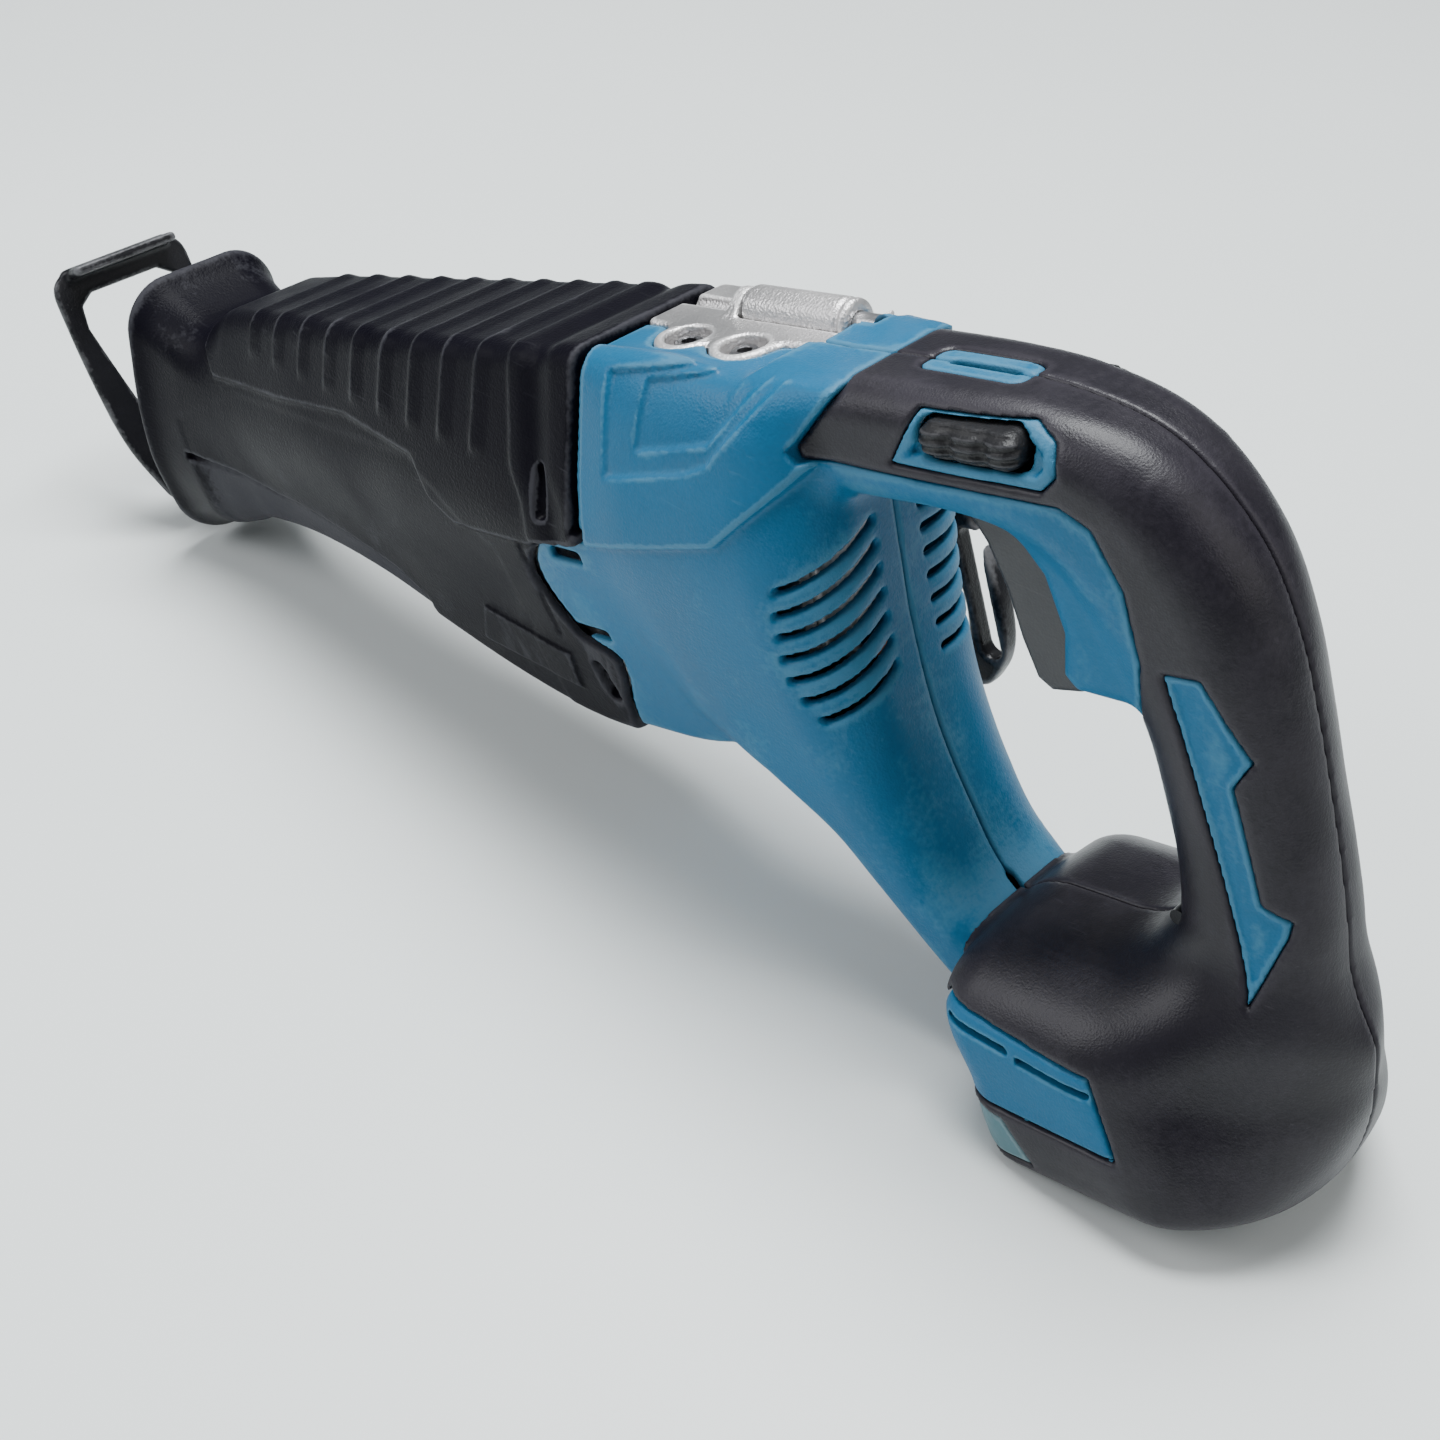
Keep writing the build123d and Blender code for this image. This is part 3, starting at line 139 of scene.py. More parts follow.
def outline(u: np.ndarray, v: np.ndarray, corners: Sequence[tuple[float, float]]) -> np.ndarray:
    """Distances to a closed polygon.

    Args:
        u: first coordinate of each place.
        v: second coordinate of each place.
        corners: the polygon's corners in order.

    Returns:
        Distances, negative inside.
    """
    nearest = np.full(np.broadcast(u, v).shape, 1e9, np.float32)
    inside = np.ones(nearest.shape, np.float32)
    for index, (u1, v1) in enumerate(corners):
        u0, v0 = corners[index - 1]
        run_u, run_v = u0 - u1, v0 - v1
        along = np.clip(((u - u1) * run_u + (v - v1) * run_v) / (run_u ** 2 + run_v ** 2), 0, 1)
        away_u = u - u1 - run_u * along
        away_v = v - v1 - run_v * along
        nearest = np.minimum(nearest, away_u ** 2 + away_v ** 2)
        above = v >= v1
        below = v < v0
        left = run_u * (v - v1) > run_v * (u - u1)
        crossing = (above & below & left) | (~above & ~below & ~left)
        inside = np.where(crossing, -inside, inside)
    return inside * np.sqrt(nearest)


def ramp(distance: np.ndarray, width: float) -> np.ndarray:
    """One inside a form and nought outside, easing over a width.

    Args:
        distance: distances to the form.
        width: length of the slope in millimetres.

    Returns:
        The share at each place.
    """
    t = np.clip(0.5 - distance / width, 0, 1)
    return t * t * (3 - 2 * t)


@dataclass(frozen=True)
class Stance:
    """How the saw's own upright frame in millimetres lies in the row frame in metres."""
    tilt: float
    shift: tuple[float, float, float]

    @classmethod
    def from_joints(cls, joints: Sequence[dict], crank: tuple[float, float, float]) -> "Stance":
        """Reads the stance off the rod's direction and the crank's place.

        Args:
            joints: the frame's joints.
            crank: the crank's centre in the saw's own frame, in millimetres.

        Returns:
            The stance.
        """
        by_name = {joint["name"]: joint for joint in joints}
        axis = by_name["rod_stroke"]["axis"]
        place = by_name["crank_turn"]["pos_m"]
        tilt = math.atan2(-axis[2], axis[0])
        turned_x = crank[0] * math.cos(tilt) + crank[2] * math.sin(tilt)
        turned_z = crank[2] * math.cos(tilt) - crank[0] * math.sin(tilt)
        return cls(tilt, (place[0] / MM - turned_x, place[1] / MM - crank[1], place[2] / MM - turned_z))

    def place(self, points: np.ndarray) -> np.ndarray:
        """Moves points from the saw's own frame into the row frame.

        Args:
            points: an array of points in millimetres.

        Returns:
            The points in metres.
        """
        cos_t, sin_t = math.cos(self.tilt), math.sin(self.tilt)
        turned = np.stack([
            points[:, 0] * cos_t + points[:, 2] * sin_t + self.shift[0],
            points[:, 1] + self.shift[1],
            points[:, 2] * cos_t - points[:, 0] * sin_t + self.shift[2],
        ], axis=1)
        return turned * MM

    def matrix(self) -> Matrix:
        """The same move as a matrix."""
        turn = Matrix.Rotation(self.tilt, 4, "Y")
        return Matrix.Scale(MM, 4) @ Matrix.Translation(self.shift) @ turn


class Block:
    """A block of space cut into cells, on which one piece's form is worked out."""

    def __init__(self, low: Sequence[float], high: Sequence[float], cell: float) -> None:
        """Cuts the block.

        Args:
            low: its lowest corner in millimetres.
            high: its highest corner.
            cell: size of a cell.
        """
        self.low = np.array(low, np.float32)
        self.cell = cell
        runs = [np.arange(a, b + cell, cell, dtype=np.float32) for a, b in zip(low, high)]
        self.x, self.y, self.z = np.meshgrid(*runs, indexing="ij", sparse=True)
        self.side = np.abs(self.y)

    def softened(self, field: np.ndarray, reach: int) -> np.ndarray:
        """The field averaged over a small cube round each place.

        Args:
            field: distances.
            reach: half the cube's size in cells.

        Returns:
            The averaged distances.
        """
        width = 2 * reach + 1
        for axis in range(3):
            padding = [(0, 0)] * 3
            padding[axis] = (reach + 1, reach)
            total = np.cumsum(np.pad(field, padding, mode="edge"), axis=axis, dtype=np.float64)
            upper = np.take(total, range(width, total.shape[axis]), axis=axis)
            lower = np.take(total, range(0, total.shape[axis] - width), axis=axis)
            field = ((upper - lower) / width).astype(np.float32)
        return field

    def sampled(self, field: np.ndarray, points: np.ndarray) -> np.ndarray:
        """Reads a field at points given in cells.

        Args:
            field: values on the block's grid.
            points: places in cells from the low corner.

        Returns:
            The value at each point.
        """
        limit = np.array(field.shape) - 2
        base = np.clip(np.floor(points).astype(int), 0, limit)
        part = points - base
        value = np.zeros(len(points), np.float32)
        for dx in (0, 1):
            for dy in (0, 1):
                for dz in (0, 1):
                    weight = (np.where(dx, part[:, 0], 1 - part[:, 0])
                              * np.where(dy, part[:, 1], 1 - part[:, 1])
                              * np.where(dz, part[:, 2], 1 - part[:, 2]))
                    value += weight * field[base[:, 0] + dx, base[:, 1] + dy, base[:, 2] + dz]
        return value

    def skin(self, name: str, field: np.ndarray, stance: Stance,
             edge_size: float = 1.6) -> bpy.types.Object:
        """Turns a field into a closed mesh with its edges and hollows marked.

        Args:
            name: the new object's name.
            field: distances on the whole block.
            stance: where the piece goes.
            edge_size: how wide the marks along edges are, in millimetres.

        Returns:
            The new object, at the origin of the row frame.
        """
        full = np.ascontiguousarray(np.broadcast_to(field, np.broadcast(self.x, self.y, self.z).shape),
                                    dtype=np.float32)
        full = np.pad(full, 1, constant_values=9.0)
        full = np.clip(full, -4.0, 4.0)
        grid = openvdb.FloatGrid(background=4.0)
        grid.copyFromArray(full / self.cell)
        points, triangles, quads = grid.convertToPolygons(isovalue=0.0, adaptivity=0.0)
        reach = max(1, round(edge_size / self.cell))
        bent = self.sampled(self.softened(full, reach), points)
        mesh = bpy.data.meshes.new(name)
        mesh.vertices.add(len(points))
        placed = stance.place((points - 1) * self.cell + self.low)
        mesh.vertices.foreach_set("co", placed.astype(np.float32).ravel())
        corners = np.concatenate([triangles.ravel(), quads.ravel()]).astype(np.int32)
        starts = np.concatenate([
            np.arange(len(triangles)) * 3,
            len(triangles) * 3 + np.arange(len(quads)) * 4,
        ]).astype(np.int32)
        mesh.loops.add(len(corners))
        mesh.loops.foreach_set("vertex_index", corners)
        mesh.polygons.add(len(starts))
        mesh.polygons.foreach_set("loop_start", starts)
        mesh.update(calc_edges=True)
        mesh.attributes.new("edge", "FLOAT", "POINT").data.foreach_set(
            "value", np.clip(bent / (0.28 * edge_size), 0, 1).astype(np.float32))
        mesh.attributes.new("hollow", "FLOAT", "POINT").data.foreach_set(
            "value", np.clip(-bent / (0.28 * edge_size), 0, 1).astype(np.float32))
        made = bpy.data.objects.new(name, mesh)
        bpy.context.scene.collection.objects.link(made)
        face_outwards(made)
        return thinned(made)


def face_outwards(made: bpy.types.Object) -> None:
    """Turns a closed mesh's faces outwards by the sign of its volume."""
    mesh = made.data
    mesh.calc_loop_triangles()
    places = np.empty(len(mesh.vertices) * 3, np.float32)
    mesh.vertices.foreach_get("co", places)
    places = places.reshape(-1, 3).astype(np.float64)
    corners = np.empty(len(mesh.loop_triangles) * 3, np.int32)
    mesh.loop_triangles.foreach_get("vertices", corners)
    a, b, c = places[corners.reshape(-1, 3)].transpose(1, 0, 2)
    if np.einsum("ij,ij->", a, np.cross(b, c)) < 0:
        mesh.flip_normals()


def thinned(made: bpy.types.Object) -> bpy.types.Object:
    """Brings a mesh under the triangle limit and shades it smooth.

    Args:
        made: the object.

    Returns:
        The same object.
    """
    made.data.calc_loop_triangles()
    count = len(made.data.loop_triangles)
    if count > LIMIT_TRIANGLES:
        modifier = made.modifiers.new("thin", "DECIMATE")
        modifier.ratio = LIMIT_TRIANGLES / count
        settle_modifiers(made)
    made.data.shade_smooth()
    return made


def settle_modifiers(made: bpy.types.Object) -> None:
    """Makes an object's modifiers part of its mesh."""
    graph = bpy.context.evaluated_depsgraph_get()
    mesh = bpy.data.meshes.new_from_object(made.evaluated_get(graph))
    mesh.name = made.name
    made.modifiers.clear()
    made.data = mesh


# ---- finishes --------------------------------------------------------------------------------
Colour = tuple[float, float, float]


class Wiring:
    """A node tree being wired up."""

    def __init__(self, tree: bpy.types.NodeTree) -> None:
        """Starts on a tree."""
        self.tree = tree

    def add(self, kind: str, inputs: dict | None = None, **settings: object) -> bpy.types.Node:
        """Adds one node.

        Args:
            kind: the node's type.
            inputs: values or output sockets by input name or number.
            settings: properties of the node.

        Returns:
            The node.
        """
        node = self.tree.nodes.new(kind)
        for name, value in settings.items():
            setattr(node, name, value)
        for key, value in (inputs or {}).items():
            if isinstance(value, bpy.types.NodeSocket):
                self.tree.links.new(value, node.inputs[key])
            else:
                node.inputs[key].default_value = value
        return node

    def noise(self, place: bpy.types.NodeSocket, scale: object, detail: float = 3.0,
              distortion: float = 0.0) -> bpy.types.NodeSocket:
        """The value of a noise texture at a place."""
        inputs = {"Vector": place, "Scale": scale, "Detail": detail, "Distortion": distortion}
        return self.add("ShaderNodeTexNoise", inputs).outputs[0]

    def math(self, operation: str, a: object, b: object = 0.0) -> bpy.types.NodeSocket:
        """One sum on two values."""
        return self.add("ShaderNodeMath", {0: a, 1: b}, operation=operation).outputs[0]

    def span(self, value: object, low: object, high: object, start: object = 0.0,
             end: object = 1.0) -> bpy.types.NodeSocket:
        """A value carried from one range to another and held inside it."""
        inputs = {"Value": value, "From Min": low, "From Max": high, "To Min": start, "To Max": end}
        return self.add("ShaderNodeMapRange", inputs).outputs[0]

    def mix(self, share: object, a: object, b: object) -> bpy.types.NodeSocket:
        """One colour laid over another."""
        inputs = {0: share, 6: as_colour(a), 7: as_colour(b)}
        return self.add("ShaderNodeMix", inputs, data_type="RGBA").outputs[2]


def as_colour(value: object) -> object:
    """A colour with its fourth part, or the socket it came as."""
    return (*value, 1.0) if isinstance(value, tuple) and len(value) == 3 else value


def effect_group(name: str, inputs: dict[str, float],
                 body: Callable[[Wiring, bpy.types.Node], bpy.types.NodeSocket]) -> bpy.types.NodeTree:
    """A shader group with named inputs that puts out one value.

    Args:
        name: the group's name.
        inputs: its inputs and their values.
        body: wires the group and returns its result.

    Returns:
        The group.
    """
    tree = bpy.data.node_groups.new(name, "ShaderNodeTree")
    for label, value in inputs.items():
        socket = tree.interface.new_socket(label, in_out="INPUT", socket_type="NodeSocketFloat")
        socket.default_value = value
    tree.interface.new_socket("Value", in_out="OUTPUT", socket_type="NodeSocketFloat")
    wiring = Wiring(tree)
    source = wiring.add("NodeGroupInput")
    result = body(wiring, source)
    wiring.add("NodeGroupOutput", {0: result})
    return tree


def wire_wear(wiring: Wiring, source: bpy.types.Node) -> bpy.types.NodeSocket:
    """Bare, rubbed patches along a piece's edges."""
    place = wiring.add("ShaderNodeTexCoord").outputs["Object"]
    edge = wiring.add("ShaderNodeAttribute", attribute_name="edge").outputs["Fac"]
    broad = wiring.noise(place, source.outputs["Scale"], 4.0)
    fine = wiring.noise(place, wiring.math("MULTIPLY", source.outputs["Scale"], 9.0), 3.0)
    broken = wiring.math("ADD", wiring.math("MULTIPLY", broad, 0.9), wiring.math("MULTIPLY", fine, 0.5))
    reach = wiring.math("ADD", edge, wiring.math("SUBTRACT", broken, 1.15))
    return wiring.math("MULTIPLY", wiring.span(reach, -0.08, 0.25), source.outputs["Amount"])


def wire_scratches(wiring: Wiring, source: bpy.types.Node) -> bpy.types.NodeSocket:
    """Short thin scratches in a few directions, in loose patches."""
    place = wiring.add("ShaderNodeTexCoord").outputs["Object"]
    total = None
    for turn, stretch in (((0.3, 0.5, 0.9), 26.0), ((1.1, -0.4, 2.1), 34.0), ((-0.5, 0.9, 0.1), 22.0)):
        inputs = {"Vector": place, "Rotation": turn, "Scale": (stretch, stretch * 22, stretch * 22)}
        turned = wiring.add("ShaderNodeMapping", inputs).outputs[0]
        streak = wiring.span(wiring.noise(turned, 1.0, 2.0, 0.4), 0.69, 0.75)
        total = streak if total is None else wiring.math("MAXIMUM", total, streak)
    patch = wiring.span(wiring.noise(place, 32.0, 2.0), 0.46, 0.66)
    return wiring.math("MULTIPLY", wiring.math("MULTIPLY", total, patch), source.outputs["Amount"])


def wire_grain(wiring: Wiring, source: bpy.types.Node) -> bpy.types.NodeSocket:
    """The fine pebbled grain of a moulded or blasted surface."""
    place = wiring.add("ShaderNodeTexCoord").outputs["Object"]
    scale = source.outputs["Scale"]
    pebble = wiring.add("ShaderNodeTexVoronoi", {"Vector": place, "Scale": scale}).outputs["Distance"]
    ripple = wiring.noise(place, wiring.math("MULTIPLY", scale, 0.6), 4.0)
    return wiring.math("ADD", wiring.math("MULTIPLY", pebble, 0.6), ripple)


def wire_dust(wiring: Wiring, source: bpy.types.Node) -> bpy.types.NodeSocket:
    """Pale dust that sits in hollows and thinly on upward faces."""
    place = wiring.add("ShaderNodeTexCoord").outputs["Object"]
    hollow = wiring.add("ShaderNodeAttribute", attribute_name="hollow").outputs["Fac"]
    upward = wiring.add("ShaderNodeNewGeometry").outputs["Normal"]
    up = wiring.add("ShaderNodeSeparateXYZ", {0: upward}).outputs["Z"]
    cloud = wiring.noise(place, 38.0, 6.0, 0.6)
    speck = wiring.noise(place, 620.0, 3.0)
    lying = wiring.math("MULTIPLY", wiring.span(up, -0.2, 0.9),
                        wiring.span(cloud, 0.45, 0.75, 0.0, 0.55))
    caught = wiring.math("MULTIPLY", hollow, wiring.span(cloud, 0.3, 0.6, 0.1, 0.9))
    grainy = wiring.math("MULTIPLY", wiring.math("ADD", lying, caught),
                         wiring.span(speck, 0.3, 0.7, 0.4, 1.0))
    return wiring.math("MULTIPLY", grainy, source.outputs["Amount"])


class Effects:
    """The shader groups that finishes share, each made once."""

    def __init__(self) -> None:
        """Makes the groups."""
        self.wear = effect_group("edge_wear", {"Amount": 1.0, "Scale": 60.0}, wire_wear)
        self.scratches = effect_group("scratches", {"Amount": 1.0}, wire_scratches)
        self.grain = effect_group("fine_grain", {"Scale": 900.0}, wire_grain)
        self.dust = effect_group("settled_dust", {"Amount": 1.0}, wire_dust)


@dataclass(frozen=True)
class Finish:
    """A surface finish: its colours, its gloss, its grain and how worn it is."""
    slot: str
    base: Colour
    tint: Colour
    worn: Colour
    rough: float
    rough_spread: float = 0.1
    metallic: float = 0.0
    grain_scale: float = 1100.0
    grain: float = 0.05
    wear: float = 0.5
    scratches: float = 0.4
    dust: float = 0.2
    coat: float = 0.0
    specular: float = 0.5
    dusty: Colour = (0.42, 0.40, 0.36)

    def material(self, effects: Effects) -> bpy.types.Material:
        """Builds the finish as a material.

        Args:
            effects: the shared shader groups.

        Returns:
            The material.
        """
        made = bpy.data.materials.new(self.slot + "_finish")
        made.use_nodes = True
        wiring = Wiring(made.node_tree)
        shader = made.node_tree.nodes["Principled BSDF"]
        place = wiring.add("ShaderNodeTexCoord").outputs["Object"]
        wear = self.effect(wiring, effects.wear, Amount=self.wear, Scale=70.0)
        scratch = self.effect(wiring, effects.scratches, Amount=self.scratches)
        grain = self.effect(wiring, effects.grain, Scale=self.grain_scale)
        dust = self.effect(wiring, effects.dust, Amount=self.dust)
        mottle = wiring.span(wiring.noise(place, 24.0, 5.0, 0.4), 0.3, 0.7)
        fleck = wiring.span(wiring.noise(place, 900.0, 2.0), 0.35, 0.65, 0.0, 0.25)
        blotch = wiring.math("ADD", wiring.math("MULTIPLY", mottle, 0.75), fleck)
        colour = wiring.mix(blotch, self.base, self.tint)
        colour = wiring.mix(wiring.math("MULTIPLY", scratch, 0.55), colour, self.worn)
        colour = wiring.mix(wear, colour, self.worn)
        colour = wiring.mix(dust, colour, self.dusty)
        gloss = wiring.span(mottle, 0.0, 1.0, self.rough - self.rough_spread,
                            self.rough + self.rough_spread)
        gloss = wiring.math("ADD", gloss, wiring.math("MULTIPLY", wiring.math("ADD", dust, wear), 0.25))
        height = wiring.math("SUBTRACT", wiring.math("MULTIPLY", grain, self.grain),
                             wiring.math("MULTIPLY", scratch, 0.12))
        bump = wiring.add("ShaderNodeBump", {"Height": height, "Strength": 1.0, "Distance": 0.0006})
        wiring.tree.links.new(colour, shader.inputs["Base Color"])
        wiring.tree.links.new(gloss, shader.inputs["Roughness"])
        wiring.tree.links.new(bump.outputs[0], shader.inputs["Normal"])
        shader.inputs["Metallic"].default_value = self.metallic
        shader.inputs["Coat Weight"].default_value = self.coat
        shader.inputs["Specular IOR Level"].default_value = self.specular
        return made

    @staticmethod
    def effect(wiring: Wiring, group: bpy.types.NodeTree, **values: float) -> bpy.types.NodeSocket:
        """Places a shared group with this finish's own values.

        Args:
            wiring: the material being wired.
            group: the shared group.
            values: its inputs by name.

        Returns:
            The group's output.
        """
        node = wiring.add("ShaderNodeGroup", node_tree=group)
        for name, value in values.items():
            node.inputs[name].default_value = value
        return node.outputs[0]


FINISHES = (
    Finish("teal_plastic", (0.0055, 0.096, 0.200), (0.0085, 0.122, 0.250), (0.10, 0.26, 0.37), 0.42,
           grain=0.16, grain_scale=1500.0, wear=0.38, scratches=0.3, dust=0.10, specular=0.20),
    Finish("soft_black", (0.0072, 0.0060, 0.0098), (0.0115, 0.0098, 0.0155), (0.070, 0.062, 0.078), 0.37,
           grain=0.10, grain_scale=1900.0, wear=0.16, scratches=0.34, dust=0.03, specular=0.30),
    Finish("boot_rubber", (0.0020, 0.0017, 0.0042), (0.0036, 0.0032, 0.0066), (0.11, 0.11, 0.125), 0.40,
           grain=0.16, grain_scale=1500.0, wear=0.30, scratches=0.22, dust=0.012, specular=0.07),
    Finish("cast_aluminium", (0.56, 0.55, 0.55), (0.68, 0.66, 0.66), (0.86, 0.85, 0.84), 0.38,
           metallic=0.9, grain=0.35, grain_scale=1300.0, wear=0.6, scratches=0.8, dust=0.12),
    Finish("black_steel", (0.006, 0.006, 0.008), (0.011, 0.011, 0.014), (0.20, 0.20, 0.21), 0.34,
           metallic=0.2, grain=0.14, grain_scale=1500.0, wear=0.5, scratches=0.5, dust=0.05, specular=0.3),
    Finish("steel", (0.46, 0.46, 0.47), (0.58, 0.58, 0.59), (0.75, 0.75, 0.75), 0.30, metallic=1.0,
           grain=0.08, scratches=0.8, dust=0.06),
    Finish("hardened_steel", (0.17, 0.17, 0.18), (0.26, 0.26, 0.27), (0.55, 0.55, 0.56), 0.34,
           metallic=1.0, grain=0.10, scratches=0.7, dust=0.05),
    Finish("bronze", (0.50, 0.30, 0.13), (0.58, 0.37, 0.18), (0.75, 0.56, 0.33), 0.36, metallic=1.0,
           grain=0.12, dust=0.05),
    Finish("felt", (0.30, 0.27, 0.22), (0.42, 0.38, 0.32), (0.5, 0.46, 0.4), 0.95, grain=0.9,
           grain_scale=700.0, specular=0.1, scratches=0.0),
    Finish("copper", (0.60, 0.22, 0.10), (0.70, 0.30, 0.15), (0.80, 0.45, 0.28), 0.32, metallic=1.0,
           grain=0.25, grain_scale=2200.0, dust=0.03),
    Finish("lamination", (0.10, 0.10, 0.105), (0.15, 0.15, 0.155), (0.3, 0.3, 0.3), 0.45, metallic=0.9,
           grain=0.3, grain_scale=2600.0, dust=0.03),
    Finish("black_plastic", (0.006, 0.006, 0.007), (0.011, 0.011, 0.013), (0.10, 0.10, 0.11), 0.38,
           grain=0.14, grain_scale=1700.0, wear=0.3, scratches=0.35, dust=0.05, specular=0.25),
    Finish("grey_plastic", (0.016, 0.017, 0.020), (0.024, 0.025, 0.029), (0.18, 0.18, 0.19), 0.42,
           grain=0.16, grain_scale=1600.0, wear=0.45, scratches=0.35, dust=0.15),
    Finish("badge_plastic", (0.035, 0.120, 0.150), (0.055, 0.155, 0.185), (0.25, 0.35, 0.38), 0.35,
           grain=0.06, wear=0.5, scratches=0.6, dust=0.2),
    Finish("potting", (0.015, 0.018, 0.016), (0.022, 0.026, 0.024), (0.1, 0.1, 0.1), 0.25, grain=0.15,
           grain_scale=500.0, dust=0.05),
    Finish("contact_brass", (0.62, 0.45, 0.19), (0.72, 0.55, 0.27), (0.82, 0.68, 0.42), 0.28,
           metallic=1.0, grain=0.06, dust=0.03),
)


class Bench:
    """Where pieces are finished: knows the stance and gives each piece its finish and its body."""

    def __init__(self, stance: Stance) -> None:
        """Makes the finishes."""
        self.stance = stance
        effects = Effects()
        self.finishes = {finish.slot: finish.material(effects) for finish in FINISHES}

    def dress(self, piece: bpy.types.Object, slot: str) -> bpy.types.Object:
        """Gives a piece one finish all over.

        Args:
            piece: the object.
            slot: the record's slot for the finish.

        Returns:
            The same object.
        """
        piece.data.materials.clear()
        piece.data.materials.append(self.finishes[slot])
        return piece

    def mount(self, piece: bpy.types.Object, slot: str, body: Body, nodes: Sequence[str]) -> None:
        """Finishes a piece, puts it on its body and lets it stand for CAD nodes.

        Args:
            piece: the object.
            slot: the record's slot for the finish.
            body: the body it rides.
            nodes: the CAD nodes it stands for.
        """
        self.dress(piece, slot)
        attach(piece, body.value)
        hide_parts(*nodes)
        LOG.info("%s: %d faces, on %s", piece.name, len(piece.data.polygons), body.value)


def hook_run(b: Block, grow: float) -> np.ndarray:
    """The way of the hook's arm from its hinge, over the head's right shoulder and down.

    Args:
        b: the block it is worked out on.
        grow: how far the form is swollen, in millimetres.

    Returns:
        Distances to the arm's form.
    """
    over = outline(b.y, b.z, ((-14, 194), (-21, 190.5), (-27, 187.8), (-32, 184.4), (-36.5, 180.6),
                              (-41.5, 175.5), (-45.2, 170), (-47.3, 164), (-47.3, 74), (-41.2, 74),
                              (-41.2, 163), (-38.6, 168.5), (-34, 173.6), (-29, 178), (-24, 181.4),
                              (-19, 183.6), (-14, 184)))
    front = curve(b.z, (74, 170), (84, 166), (100, 165), (120, 171), (150, 182), (175, 190), (200, 190))
    rear = curve(b.z, (74, 161), (84, 154), (100, 152), (120, 158), (150, 168), (175, 174), (200, 174))
    width = np.maximum(b.x - front, rear - b.x)
    return smooth_max(smooth_max(over, width, 2.2), 74.5 - b.z, 4.0) - grow


